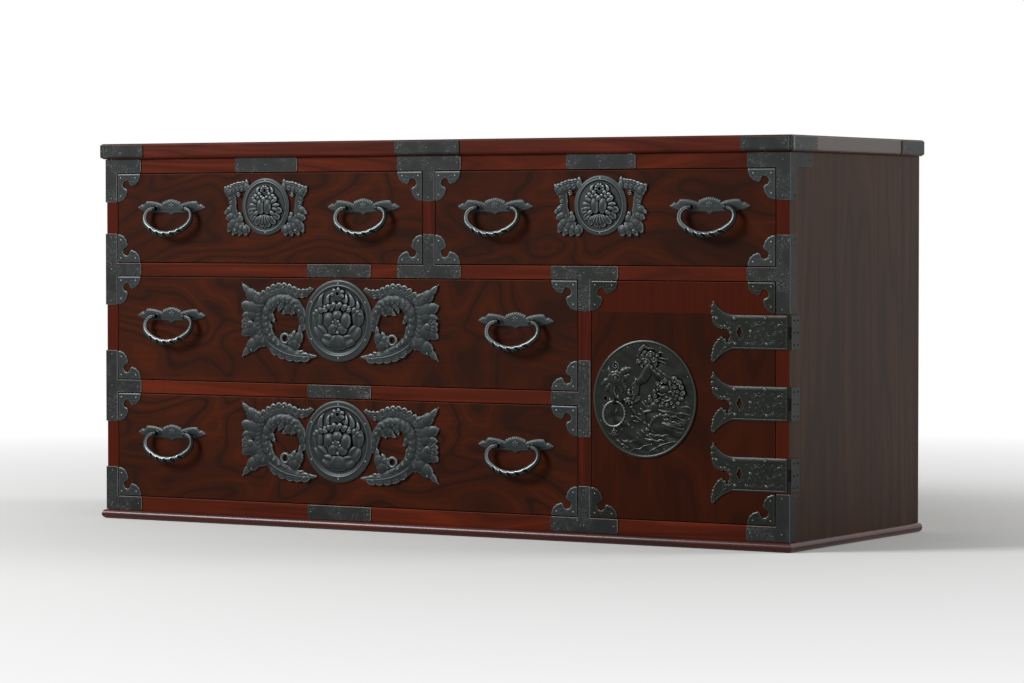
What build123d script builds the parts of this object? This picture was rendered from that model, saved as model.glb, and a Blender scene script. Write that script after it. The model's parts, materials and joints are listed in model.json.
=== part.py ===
"""Low clothing chest in lacquered zelkova with blackened iron mounts.

Two top drawers sit over two long drawers and a side cupboard with one hinged door.
The frame is +Z up, the front faces -Y, and the origin is the middle of the flat underside.
All sizes are in millimetres.
"""

import os
from math import atan2, cos, radians, sin

from build123d import *

os.makedirs("parts", exist_ok=True)

# ---------------------------------------------------------------- driving dimensions
# carcass
body_width = 1200.0  # over the two side panels
body_depth = 424.0
chest_height = 587.0  # floor to the top board's upper face
side_thickness = 21.0
top_thickness = 24.0
base_thickness = 14.0
overhang = 7.0  # top board and base nosing past the side panels
top_front_overhang = 6.0
base_front_overhang = 7.0
nosing_width = 26.0  # mitred nosing strips round the bottom board
back_thickness = 6.0
top_edge_radius = 3.0
top_underedge_radius = 5.0

# front frame
rail_height = 20.0
top_rail_height = 22.0
bottom_rail_height = 22.0
stile_width = 21.0
frame_depth = 20.0
top_row_height = 140.0
door_opening_width = 301.0
edge_round = 0.8

# boards inside
dust_thickness = 12.0
housing_depth = 5.0
housing_setback = 8.0  # housings stop this far behind the front
shelf_thickness = 12.0
shelf_height = 165.0  # underside above the cupboard floor
batten_size = 14.0
stop_length = 30.0
stop_height = 16.0

# drawers and door
panel_gap = 1.5  # round each drawer front and the door
running_gap = 0.3  # under the drawer sides
front_thickness = 20.0
box_thickness = 10.0
box_top_drop = 6.0  # drawer sides stand this much lower than the front
bottom_thickness = 6.0
bottom_lift = 8.0  # drawer bottom above the runners
groove_depth = 4.0
rabbet_depth = 12.0
drawer_depth = 398.0
shelf_clearance = 2.0

# ironwork
iron_thickness = 1.6
iron_margin = 0.5  # iron edge inside the edge of its rail or stile
iron_reach = 46.0  # arms past the crossing of rail and stile
iron_tip_radius = 2.5
iron_bevel = 0.4
tip_nail = 6.0  # nail to the free end of an iron
nail_inset = 6.0  # nail to the edges of a corner leaf or the medallion
side_wing_arm = 67.0
side_wing_leg = 20.0
rail_plate_width = 115.0
corner_iron_size = 43.0
band_thickness = 1.2
band_length_front = 82.0
band_length_side = 76.0
band_margin = 2.0
band_centre_width = 114.0

nail_radius = 0.8
nail_head_radius = 1.5
nail_head_height = 1.0
nail_length = 8.0
nail_clearance = 0.1

# handles
handle_inset = 104.0  # from the end of a drawer front to the middle of its handle
top_handle_rise = 15.0  # pivot above the middle of a top drawer
long_handle_rise = 19.0
handle_plate_thickness = 2.0
handle_plate_half_width = 65.0
handle_plate_rise = 14.0  # its peak above the pivot line
handle_plate_drop = 9.0
eye_half_spacing = 28.0
eye_radius = 4.0
eye_width = 5.0
eye_shank_radius = 2.0
pivot_stand_off = 8.0  # bail pivot in front of the wood
bail_radius = 3.5
bail_pin_radius = 2.0
pivot_clearance = 0.1
bail_half_width = 44.5
bail_drop = 40.5
bail_swell = 9.0  # grip in front of the pivot line
bail_corner_turn = 50.0  # degrees that each lower corner turns
eye_gap = 0.5

# locks
lock_rise_top = 17.5  # lock plate above the middle of a top drawer
lock_rise_long = 16.0
small_lock_radius = 43.5
big_lock_radius = 62.0
small_wing_span = 76.5
big_wing_span = 178.0
lock_plate_thickness = 2.4
lock_dome_height = 5.0
lock_rim_width = 9.0
keyhole_radius = 2.8
small_keyhole_rise = 24.5
big_keyhole_rise = 41.0
lock_case_drop = 6.0  # case top below the drawer front's top edge
lock_case_width = 60.0
lock_case_height = 44.0
lock_case_thickness = 10.0
bolt_width = 24.0
bolt_thickness = 5.0
bolt_throw = 8.0
bolt_clearance = 0.3
pocket_clearance = 0.2

# door ironwork
medallion_radius = 84.5
medallion_thickness = 2.4
medallion_rim = 8.0
medallion_relief = 5.0
medallion_inset = 90.0  # from the door's free edge to the medallion's middle
medallion_rise = 2.0  # medallion above the middle of the door
door_keyhole_inset = 24.0  # from the door's free edge
door_case_margin = 6.0  # lock case inside the door's free edge
strap_height = 48.0
strap_fork_half = 45.0
strap_length = 123.0  # horn tips to the side of the chest
strap_fork_depth = 30.0  # horn tips to the bottom of the fork
strap_thickness = 2.2
strap_eyelet_inset = 78.0  # pierced hole to the side of the chest
strap_eyelet_radius = 4.5
strap_end_inset = 72.0  # middle of the top and bottom hinge to the end of the door opening
leaf_width = 28.0
knuckle_radius = 2.8
knuckle_gap = 0.3
hinge_pin_radius = 1.3
ring_radius = 18.2
ring_wire_radius = 2.2
ring_offset = (-42.5, -3.5)  # ring pivot from the medallion's middle
ring_eye_width = 4.2
ring_eye_wall = 2.0
ring_post_radius = 1.8
ring_clearance = 0.5
ring_stand_off = 13.0
ring_lean = 6.0

# ---------------------------------------------------------------- levels and spans
front_y = -body_depth / 2
back_y = body_depth / 2
left_x = -body_width / 2
right_x = body_width / 2
inner_left = left_x + side_thickness
inner_right = right_x - side_thickness
carcass_top = chest_height - top_thickness

bottom_rail_z = (base_thickness, base_thickness + bottom_rail_height)
top_rail_z = (carcass_top - top_rail_height, carcass_top)
top_row_z = (top_rail_z[0] - top_row_height, top_rail_z[0])
middle_rail_z = (top_row_z[0] - rail_height, top_row_z[0])
long_row_height = (middle_rail_z[0] - bottom_rail_z[1] - rail_height) / 2
lower_row_z = (bottom_rail_z[1], bottom_rail_z[1] + long_row_height)
lower_rail_z = (lower_row_z[1], lower_row_z[1] + rail_height)
middle_row_z = (lower_rail_z[1], middle_rail_z[0])

centre_stile_x = (-stile_width / 2, stile_width / 2)
door_x = (inner_right - door_opening_width, inner_right)
door_stile_x = (door_x[0] - stile_width, door_x[0])
cupboard_z = (bottom_rail_z[1], middle_rail_z[0])

frame_back_y = front_y + frame_depth
back_panel_y = (back_y - back_thickness, back_y)
board_y = (frame_back_y, back_panel_y[0])

# lock cases lie flush with the backs of the fronts and the door
lock_y = (front_y + front_thickness - lock_case_thickness, front_y + front_thickness)
case_wall = (lock_case_thickness - bolt_thickness) / 2
bolt_y = (lock_y[0] + case_wall, lock_y[1] - case_wall)

# each drawer's name, opening and whether it carries the large lock
drawers = {
    "top_left": ((inner_left, centre_stile_x[0]), top_row_z, False),
    "top_right": ((centre_stile_x[1], inner_right), top_row_z, False),
    "middle": ((inner_left, door_stile_x[0]), middle_row_z, True),
    "lower": ((inner_left, door_stile_x[0]), lower_row_z, True),
}


# ---------------------------------------------------------------- small helpers
def middle(span):
    """Halfway along a span."""
    return (span[0] + span[1]) / 2


def inside(span, margin):
    """A span drawn in by the same margin at both ends."""
    return (span[0] + margin, span[1] - margin)


def about(centre, size):
    """A span of that size about a centre."""
    return (centre - size / 2, centre + size / 2)


def ordered(a, b):
    """Two values as a span."""
    return (min(a, b), max(a, b))


def block(x, y, z, mode=Mode.ADD):
    """A box between three spans, in the part being built."""
    with Locations((middle(x), middle(y), middle(z))):
        Box(x[1] - x[0], y[1] - y[0], z[1] - z[0], mode=mode)


def front_at(x, z, proud=0.0):
    """A plane on the front of the chest, x to the right, y up and z towards the user."""
    return Plane(origin=(x, front_y - proud, z), x_dir=(1, 0, 0), z_dir=(0, -1, 0))


def side_at(side, y, z, proud=0.0):
    """A plane on a side panel (side -1 is left), with z pointing away from the chest."""
    x = side * (body_width / 2 + proud)
    return Plane(origin=(x, y, z), x_dir=(0, side, 0), z_dir=(side, 0, 0))


def pierce(planes, radius, depth):
    """Round holes into the part being built, from each plane inwards."""
    for plane in planes:
        with Locations(plane):
            Cylinder(radius, depth, align=(Align.CENTER, Align.CENTER, Align.MAX), mode=Mode.SUBTRACT)


def save(part, name):
    """Writes one named sub-part."""
    part.label = name
    export_step(part, f"parts/{name}.step")


def group(solids):
    """Separate pieces of one sub-part, kept as separate solids."""
    return Compound(children=list(solids))


# ---------------------------------------------------------------- nails
def cap_radius(base_radius, height):
    """The sphere radius of a cap with that base and height."""
    return (base_radius**2 + height**2) / (2 * height)


def make_nail():
    """A domed nail along Z, its head standing on z = 0."""
    dome = cap_radius(nail_head_radius, nail_head_height)
    with BuildPart() as nail:
        with BuildSketch(Plane.XZ):
            with BuildLine():
                Polyline((0, -nail_length), (nail_radius, -nail_length), (nail_radius, 0), (nail_head_radius, 0))
                RadiusArc((nail_head_radius, 0), (0, nail_head_height), -dome)
                Line((0, nail_head_height), (0, -nail_length))
            make_face()
        revolve(axis=Axis.Z)
    return nail.part


nail = make_nail()
nail_hole_radius = nail_radius + nail_clearance


def nails_at(planes):
    """One nail driven in at each plane."""
    return [plane.location * nail for plane in planes]


def wood_nail_holes(planes, proud):
    """Nail holes into the wood behind irons that are that thick."""
    flush = [Plane(plane.origin - plane.z_dir * proud, plane.x_dir, plane.z_dir) for plane in planes]
    pierce(flush, nail_hole_radius, nail_length - proud + nail_clearance)


def planes_over(planes, x, z):
    """The planes whose origins lie on a front piece that spans x and z."""
    return [p for p in planes if x[0] < p.origin.X < x[1] and z[0] < p.origin.Z < z[1]]


# ---------------------------------------------------------------- frame irons
def strap(strips, side=0, wings=()):
    """An iron of rounded strips on the front, with square wings bent round one side."""
    with BuildPart() as iron:
        with BuildSketch(Plane.XZ.offset(-front_y)):
            for x, z in strips:
                with Locations((middle(x), middle(z))):
                    RectangleRounded(x[1] - x[0], z[1] - z[0], iron_tip_radius)
        extrude(amount=iron_thickness)
        if side:
            outer = side * (body_width / 2 + iron_thickness)
            spare = ordered(outer, outer + side * 4 * iron_tip_radius)
            block(spare, (front_y - 2 * iron_thickness, front_y), (0, chest_height), Mode.SUBTRACT)
            for y, z in wings:
                block(ordered(side * body_width / 2, outer), y, z)
            edges = iron.faces().sort_by(Axis.X)[-1 if side > 0 else 0].edges()
            chamfer(edges, iron_bevel)
        chamfer(iron.faces().sort_by(Axis.Y)[0].edges(), iron_bevel)
    return iron.part


def nailed(iron, planes):
    """The iron with nail holes, followed by its nails."""
    with BuildPart() as drilled:
        add(iron)
        pierce(planes, nail_hole_radius, 3 * iron_thickness)
    return [drilled.part, *nails_at(planes)]


def arm_z(rail_z):
    """The levels of an iron's arm along a rail."""
    return inside(rail_z, iron_margin)


wrap = 3 * iron_tip_radius  # strips run past the corner and are trimmed there
wing_y = (front_y - iron_thickness, front_y + side_wing_leg)
wing_arm_y = (front_y - iron_thickness, front_y + side_wing_arm)


def side_iron(side, rail_z, up, down):
    """An angle or tee where a rail meets a side panel: its strips, wings and nail planes."""
    inner = inner_right if side > 0 else inner_left
    edge = side * (body_width / 2 + wrap)
    tip = inner - side * iron_reach
    leg_z = (rail_z[0] - iron_reach * down + iron_margin, rail_z[1] + iron_reach * up - iron_margin)
    strips = [(ordered(tip, edge), arm_z(rail_z)), (ordered(inner + side * iron_margin, edge), leg_z)]
    is_top = not up and down and rail_z == top_rail_z
    wings = [(wing_y, leg_z)]
    if is_top:
        wings.append((wing_arm_y, arm_z(rail_z)))
    stile_mid = (inner + side * body_width / 2) / 2
    points = [(tip + side * tip_nail, middle(rail_z)), (stile_mid, middle(rail_z))]
    if up:
        points.append((stile_mid, leg_z[1] - tip_nail))
    if down:
        points.append((stile_mid, leg_z[0] + tip_nail))
    planes = [front_at(x, z, iron_thickness) for x, z in points]
    wing_points = [(wing_y[1] - tip_nail, z) for _, z in points[2:]]
    if is_top:
        wing_points.append((wing_arm_y[1] - tip_nail, middle(rail_z)))
    planes += [side_at(side, y, z, iron_thickness) for y, z in wing_points]
    return strap(strips, side, wings), planes


def tee(stile_x, rail_z, left, right, up, down):
    """A tee where a stile meets a rail, and its nail planes."""
    arm_x = (stile_x[0] - iron_reach * left + iron_margin, stile_x[1] + iron_reach * right - iron_margin)
    leg_z = (rail_z[0] - iron_reach * down + iron_margin, rail_z[1] + iron_reach * up - iron_margin)
    strips = [(arm_x, arm_z(rail_z)), (inside(stile_x, iron_margin), leg_z)]
    points = [(middle(stile_x), middle(rail_z))]
    if left:
        points.append((arm_x[0] + tip_nail, middle(rail_z)))
    if right:
        points.append((arm_x[1] - tip_nail, middle(rail_z)))
    if up:
        points.append((middle(stile_x), leg_z[1] - tip_nail))
    if down:
        points.append((middle(stile_x), leg_z[0] + tip_nail))
    return strap(strips), [front_at(x, z, iron_thickness) for x, z in points]


angle_irons = []
for side in (-1, 1):
    angle_irons.append(side_iron(side, top_rail_z, False, True))
    angle_irons.append(side_iron(side, bottom_rail_z, True, False))

tee_irons = [side_iron(side, middle_rail_z, True, True) for side in (-1, 1)]
tee_irons.append(side_iron(-1, lower_rail_z, True, True))
tee_irons.append(tee(centre_stile_x, top_rail_z, True, True, False, True))
tee_irons.append(tee(centre_stile_x, middle_rail_z, True, True, True, False))
tee_irons.append(tee(door_stile_x, middle_rail_z, True, True, False, True))
tee_irons.append(tee(door_stile_x, lower_rail_z, True, False, True, True))
tee_irons.append(tee(door_stile_x, bottom_rail_z, True, True, True, False))


def rail_plate(x_mid, rail_z):
    """The flat plate on a rail over a lock, and its nail planes."""
    half = rail_plate_width / 2
    iron = strap([((x_mid - half, x_mid + half), arm_z(rail_z))])
    xs = (x_mid - half + tip_nail, x_mid, x_mid + half - tip_nail)
    return iron, [front_at(x, middle(rail_z), iron_thickness) for x in xs]


long_mid_x = middle(drawers["middle"][0])
rail_plates = [
    rail_plate(middle(drawers["top_left"][0]), top_rail_z),
    rail_plate(middle(drawers["top_right"][0]), top_rail_z),
    rail_plate(long_mid_x, middle_rail_z),
    rail_plate(long_mid_x, lower_rail_z),
    rail_plate(long_mid_x, bottom_rail_z),
]

for name, irons in (("corner_angle_irons", angle_irons), ("tee_irons", tee_irons), ("rail_plates", rail_plates)):
    save(group(solid for iron, planes in irons for solid in nailed(iron, planes)), name)

frame_planes = [p for irons in (angle_irons, tee_irons, rail_plates) for _, planes in irons for p in planes]
front_planes = [p for p in frame_planes if abs(p.z_dir.Y) > 0.5]

# ---------------------------------------------------------------- places on the door and its hinges
leaf_x = inside(door_x, panel_gap)
leaf_z = inside(cupboard_z, panel_gap)
medallion_x = door_x[0] + medallion_inset
medallion_z = middle(cupboard_z) + medallion_rise
ring_at = (medallion_x + ring_offset[0], medallion_z + ring_offset[1])
door_keyhole_x = leaf_x[0] + door_keyhole_inset
door_bolt_z = medallion_z
hinge_x = right_x + 0.8 * knuckle_radius
hinge_y = front_y - 0.8 * knuckle_radius
strap_levels = [cupboard_z[0] + strap_end_inset, middle(cupboard_z), cupboard_z[1] - strap_end_inset]

# strap nails as shares of the strap's length and half height
strap_nail_shares = [(0.93, 0.8), (0.7, 0.8), (0.3, 0.85), (0.49, 0.06), (0.69, -0.68), (0.28, -0.68)]
strap_planes = [
    front_at(right_x - u * strap_length, level + v * strap_height / 2, strap_thickness)
    for level in strap_levels
    for u, v in strap_nail_shares
]
leaf_planes = [
    side_at(1, front_y + y_share * leaf_width, level + z_share * strap_height / 2, strap_thickness)
    for level in strap_levels
    for y_share in (0.4, 0.8)
    for z_share in (-0.72, 0, 0.72)
]

# ---------------------------------------------------------------- top board and its bands
top_x = (left_x - overhang, right_x + overhang)
top_y = (front_y - top_front_overhang, back_y)
top_z = (carcass_top, chest_height)

with BuildPart() as top_board:
    block(top_x, top_y, top_z)
    upper = top_board.faces().sort_by(Axis.Z)[-1].edges().sort_by(Axis.Y)[:-1]
    fillet(upper, top_edge_radius)
    lower = top_board.faces().sort_by(Axis.Z)[0].edges().sort_by(Axis.Y)[:-1]
    fillet(lower, top_underedge_radius)

band_z = inside(top_z, band_margin)
band_front_y = top_y[0] - band_thickness
grown_board = offset(top_board.part, amount=band_thickness, mode=Mode.PRIVATE)
spare = 10.0  # how far the band windows stand outside the board

with BuildPart() as band_windows:
    for side in (-1, 1):
        end = side * (top_x[1] + spare)
        along = ordered(side * (top_x[1] - band_length_front), end)
        across = ordered(side * (top_x[1] - top_underedge_radius), end)
        block(along, (top_y[0] - spare, top_y[0] + top_underedge_radius), band_z)
        block(across, (top_y[0] - spare, top_y[0] + band_length_side), band_z)
        block(across, (top_y[1] - band_length_side, top_y[1] + spare), band_z)
        back_along = ordered(side * (top_x[1] - band_length_front / 2), end)
        block(back_along, (top_y[1] - top_underedge_radius, top_y[1] + spare), band_z)
    half = band_centre_width / 2
    block((-half, half), (top_y[0] - spare, top_y[0] + top_underedge_radius), band_z)

band_nails = [
    Plane(origin=(x, band_front_y, middle(band_z)), x_dir=(1, 0, 0), z_dir=(0, -1, 0))
    for x in (
        top_x[0] + 2 * tip_nail,
        top_x[0] + band_length_front - tip_nail,
        -half + tip_nail,
        0,
        half - tip_nail,
        top_x[1] - band_length_front + tip_nail,
        top_x[1] - 2 * tip_nail,
    )
]
for side in (-1, 1):
    for y in (top_y[0] + band_length_side - tip_nail, top_y[1] - band_length_side + tip_nail):
        at = (side * (top_x[1] + band_thickness), y, middle(band_z))
        band_nails.append(Plane(origin=at, x_dir=(0, side, 0), z_dir=(side, 0, 0)))

with BuildPart() as bands:
    add(grown_board)
    add(top_board.part, mode=Mode.SUBTRACT)
    add(band_windows.part, mode=Mode.INTERSECT)
    pierce(band_nails, nail_hole_radius, 3 * band_thickness)
save(group([*bands.solids().sort_by(Axis.X), *nails_at(band_nails)]), "top_board_bands")

with BuildPart() as top_board_nailed:
    add(top_board.part)
    wood_nail_holes(band_nails, band_thickness)
save(top_board_nailed.part, "top_board")

# ---------------------------------------------------------------- bottom board and nosing
base_z = (0, base_thickness)
core_x = (left_x - overhang + nosing_width, right_x + overhang - nosing_width)
core_y = (front_y - base_front_overhang + nosing_width, back_y)

with BuildPart() as bottom_board:
    block(core_x, core_y, base_z)
save(bottom_board.part, "bottom_board")

with BuildPart() as nosing:
    block(inside(core_x, -nosing_width), (core_y[0] - nosing_width, core_y[1]), base_z)
    rounded = nosing.edges().filter_by(Axis.Z, reverse=True).sort_by(Axis.Y)[:-2]
    fillet(rounded, base_thickness / 2 - 0.05)
    block(core_x, core_y, base_z, Mode.SUBTRACT)


def mitred(x_sign):
    """The nosing's piece on one side of the mitres: -1 left, 1 right, 0 front."""
    far = body_width
    corner = (x_sign * core_x[1], core_y[0])
    with BuildPart() as piece:
        add(nosing.part)
        with BuildSketch(Plane.XY):
            with BuildLine():
                if x_sign:
                    Polyline(
                        corner,
                        (corner[0] + x_sign * far, corner[1] - far),
                        (corner[0] + x_sign * far, far),
                        (corner[0], far),
                        close=True,
                    )
                else:
                    Polyline(
                        (core_x[0], core_y[0]),
                        (core_x[0] - far, core_y[0] - far),
                        (core_x[1] + far, core_y[0] - far),
                        (core_x[1], core_y[0]),
                        close=True,
                    )
            make_face()
        extrude(amount=base_thickness, mode=Mode.INTERSECT)
    return piece.part


save(group([mitred(-1), mitred(0), mitred(1)]), "base_moulding")

# ---------------------------------------------------------------- carcass boards
dust_levels = {
    "floor": (bottom_rail_z[1] - dust_thickness, bottom_rail_z[1]),
    "lower": (lower_rail_z[1] - dust_thickness, lower_rail_z[1]),
    "middle": (middle_rail_z[1] - dust_thickness, middle_rail_z[1]),
}
housing_y = (front_y + housing_setback, back_panel_y[0])
partition_z = (bottom_rail_z[1], dust_levels["middle"][0])


def side_panel(side):
    """A side panel with housings for the dust boards and rail tongues, and a rebate for the back."""
    inner = side * (body_width / 2 - side_thickness)
    levels = ["floor", "middle"] + (["lower"] if side < 0 else [])
    with BuildPart() as panel:
        block(ordered(inner, side * body_width / 2), (front_y, back_y), (base_thickness, carcass_top))
        front_edges = panel.faces().sort_by(Axis.Y)[0].edges().filter_by(Axis.Z)
        fillet(front_edges, edge_round)
        for level in levels:
            block(ordered(inner, inner + side * housing_depth), housing_y, dust_levels[level], Mode.SUBTRACT)
        rebate = ordered(inner, inner + side * side_thickness / 2)
        block(rebate, back_panel_y, (base_thickness, carcass_top), Mode.SUBTRACT)
        own = [p for p in frame_planes if abs(p.origin.X) > inner_right and p.origin.X * side > 0]
        wood_nail_holes(own, iron_thickness)
        if side > 0:
            wood_nail_holes(leaf_planes, strap_thickness)
            on_panel = [p for p in strap_planes if p.origin.X > inner_right]
            wood_nail_holes(on_panel, strap_thickness)
    return panel.part


save(side_panel(-1), "side_panel_left")
save(side_panel(1), "side_panel_right")

with BuildPart() as back_panel:
    block(
        (inner_left - side_thickness / 2, inner_right + side_thickness / 2),
        back_panel_y,
        (base_thickness, carcass_top),
    )
save(back_panel.part, "back_panel")


def dust_board(x, level, left_tongue, right_tongue):
    """A horizontal board with tongues housed in the uprights at its ends."""
    with BuildPart() as board:
        block((x[0] - left_tongue, x[1] + right_tongue), board_y, dust_levels[level])
    return board.part


inner_x = (inner_left, inner_right)
long_x = (inner_left, door_stile_x[0])
dust_boards = [
    dust_board(inner_x, "floor", housing_depth, housing_depth),
    dust_board(long_x, "lower", housing_depth, housing_depth),
    dust_board(inner_x, "middle", housing_depth, housing_depth),
]
save(group(dust_boards), "dust_boards")


def bolt_slot(x_mid, rail_underside):
    """The mortise in a rail that a drawer bolt rises into."""
    x = about(x_mid, bolt_width + 2 * bolt_clearance)
    z = (rail_underside, rail_underside + bolt_throw + 1)
    block(x, inside(bolt_y, -bolt_clearance), z, Mode.SUBTRACT)


def rail(x, z, tongue_left, tongue_right, bolts_at=()):
    """A front rail, with tongues in line with its dust board and mortises for the bolts below it."""
    with BuildPart() as bar:
        block(x, (front_y, frame_back_y), z)
        fillet(bar.faces().sort_by(Axis.Y)[0].edges().filter_by(Axis.X), edge_round)
        tongue_z = (z[1] - dust_thickness, z[1])
        tongue_y = (housing_y[0], frame_back_y)
        if tongue_left:
            block((x[0] - housing_depth, x[0]), tongue_y, tongue_z)
        if tongue_right:
            block((x[1], x[1] + housing_depth), tongue_y, tongue_z)
        for x_mid in bolts_at:
            bolt_slot(x_mid, z[0])
        wood_nail_holes(planes_over(front_planes, x, z), iron_thickness)
    return bar.part


top_bolts = [middle(drawers["top_left"][0]), middle(drawers["top_right"][0])]
rails = [
    rail(inner_x, bottom_rail_z, True, True),
    rail(long_x, lower_rail_z, True, False, [long_mid_x]),
    rail(inner_x, middle_rail_z, True, True, [long_mid_x]),
    rail(inner_x, top_rail_z, False, False, top_bolts),
]
save(group(rails), "front_rails")


def stile(x, z):
    """An upright strip of the front frame."""
    with BuildPart() as bar:
        block(x, (front_y, frame_back_y), z)
        fillet(bar.faces().sort_by(Axis.Y)[0].edges().filter_by(Axis.Z), edge_round)
        wood_nail_holes(planes_over(front_planes, x, z), iron_thickness)
    return bar.part


with BuildPart() as door_stile:
    add(stile(door_stile_x, cupboard_z))
    strike_x = (door_stile_x[1] - bolt_throw - 1, door_stile_x[1])
    strike_z = about(door_bolt_z, bolt_width + 2 * bolt_clearance)
    block(strike_x, inside(bolt_y, -bolt_clearance), strike_z, Mode.SUBTRACT)
save(group([stile(centre_stile_x, top_row_z), door_stile.part]), "front_stiles")

with BuildPart() as centre_partition:
    block(centre_stile_x, board_y, (middle_rail_z[1], carcass_top))
with BuildPart() as cupboard_partition:
    block(door_stile_x, board_y, partition_z)
    housing_x = (door_stile_x[0], door_stile_x[0] + housing_depth)
    block(housing_x, board_y, dust_levels["lower"], Mode.SUBTRACT)
save(group([centre_partition.part, cupboard_partition.part]), "partitions")

# ---------------------------------------------------------------- cupboard shelf and stops
shelf_z = (cupboard_z[0] + shelf_height, cupboard_z[0] + shelf_height + shelf_thickness)
shelf_y = (frame_back_y + batten_size + shelf_clearance, board_y[1])
shelf_parts = []
with BuildPart() as shelf:
    block(inside(door_x, shelf_clearance), shelf_y, shelf_z)
shelf_parts.append(shelf.part)
for batten_x in ((door_x[0], door_x[0] + batten_size), (door_x[1] - batten_size, door_x[1])):
    with BuildPart() as batten:
        block(batten_x, shelf_y, (shelf_z[0] - batten_size, shelf_z[0]))
    shelf_parts.append(batten.part)
save(group(shelf_parts), "cupboard_shelf")

drawer_back_y = front_y + drawer_depth
stops = []
for x, z, _ in drawers.values():
    for stop_x in ((x[0], x[0] + stop_length), (x[1] - stop_length, x[1])):
        with BuildPart() as stop:
            block(stop_x, (drawer_back_y + running_gap, board_y[1]), (z[0], z[0] + stop_height))
        stops.append(stop.part)
with BuildPart() as door_stop:
    door_stop_y = (front_y + front_thickness + running_gap, frame_back_y + batten_size)
    block((door_x[0], door_x[0] + batten_size), door_stop_y, inside(cupboard_z, bolt_width))
stops.append(door_stop.part)
save(group(stops), "stop_blocks")


# ---------------------------------------------------------------- corner irons of drawers and door
def corner_outline():
    """The pierced corner leaf, with its corner at the origin and its arms along +X and +Y."""
    size = corner_iron_size
    lobe = (0.69 * size, 0.41 * size)
    neck = (0.53 * size, 0.34 * size)
    with BuildSketch() as leaf:
        with BuildLine():
            Line((0, 0), (size, 0))
            ThreePointArc((size, 0), (0.92 * size, 0.26 * size), lobe)
            ThreePointArc(lobe, (0.6 * size, 0.42 * size), neck)
            ThreePointArc(neck, (0.27 * size, 0.27 * size), neck[::-1])
            ThreePointArc(neck[::-1], (0.42 * size, 0.6 * size), lobe[::-1])
            ThreePointArc(lobe[::-1], (0.26 * size, 0.92 * size), (0, size))
            Line((0, size), (0, 0))
        make_face()
    return leaf.sketch


corner_leaf = corner_outline()
corner_nails = [
    (nail_inset, nail_inset),
    (0.8 * corner_iron_size, nail_inset),
    (nail_inset, 0.8 * corner_iron_size),
]


def corner_irons(x, z, corners=((-1, -1), (-1, 1), (1, -1), (1, 1))):
    """Corner leaves on a front that spans x and z, with their nail planes."""
    irons, planes = [], []
    for sx, sz in corners:
        corner = (x[0] if sx < 0 else x[1], z[0] if sz < 0 else z[1])
        face = corner_leaf
        if sx > 0:
            face = mirror(face, about=Plane.YZ, mode=Mode.PRIVATE)
        if sz > 0:
            face = mirror(face, about=Plane.XZ, mode=Mode.PRIVATE)
        own = [front_at(corner[0] - sx * u, corner[1] - sz * v, iron_thickness) for u, v in corner_nails]
        with BuildPart() as iron:
            with BuildSketch(front_at(*corner)):
                add(face)
            extrude(amount=iron_thickness)
            pierce(own, nail_hole_radius, 3 * iron_thickness)
        irons.append(iron.part)
        planes += own
    return [*irons, *nails_at(planes)], planes


# ---------------------------------------------------------------- lock plates
def wing_points(span, height):
    """Right-hand outline of a foliage wing, as shares of its span and height."""
    shares = [
        (0.24, 0.84),
        (0.40, 0.76),
        (0.60, 0.92),
        (0.78, 0.72),
        (0.97, 1.0),
        (0.92, 0.55),
        (1.0, 0.06),
        (0.93, -0.35),
        (0.99, -0.85),
        (0.78, -0.72),
        (0.55, -0.95),
        (0.22, -0.92),
    ]
    return [(u * span, v * height) for u, v in shares]


def domed_disc(radius, thickness, rim, dome_height):
    """A round plate on Plane.XY with a flat rim and a domed middle."""
    inner = radius - rim
    with BuildPart() as disc:
        with BuildSketch(Plane.XZ):
            with BuildLine():
                Polyline((0, 0), (radius, 0), (radius, thickness), (inner, thickness))
                RadiusArc((inner, thickness), (0, thickness + dome_height), -cap_radius(inner, dome_height))
                Line((0, thickness + dome_height), (0, 0))
            make_face()
        revolve(axis=Axis.Z)
    return disc.part


def lock_plate(x_mid, z_mid, radius, span, keyhole_rise):
    """The round repousse escutcheon with its two wings, key hole and nails."""
    plane = front_at(x_mid, z_mid)
    nail_circle = radius - lock_rim_width / 2
    turns = range(0, 360, 60) if radius > small_lock_radius else (0, 180)
    planes = [
        front_at(
            x_mid + nail_circle * sin(radians(turn)),
            z_mid + nail_circle * cos(radians(turn)),
            lock_plate_thickness,
        )
        for turn in turns
    ]
    with BuildPart() as disc:
        add(plane.location * domed_disc(radius, lock_plate_thickness, lock_rim_width, lock_dome_height))
        with Locations(front_at(x_mid, z_mid + keyhole_rise)):
            Cylinder(keyhole_radius, 4 * lock_dome_height, mode=Mode.SUBTRACT)
        pierce(planes, nail_hole_radius, 3 * lock_plate_thickness)
    wings = []
    for sign in (-1, 1):
        with BuildPart() as wing:
            with BuildSketch(plane):
                with BuildLine():
                    outline = [(sign * u, v) for u, v in wing_points(span, 0.96 * radius)]
                    Polyline(*outline, close=True)
                make_face()
                Circle(radius, mode=Mode.SUBTRACT)
                with Locations((sign * 0.62 * span, 0)):
                    Ellipse(0.26 * (span - radius), 0.3 * radius, mode=Mode.SUBTRACT)
            extrude(amount=lock_plate_thickness)
        wings += wing.solids()
    return [disc.part, *wings, *nails_at(planes)], planes


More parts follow.
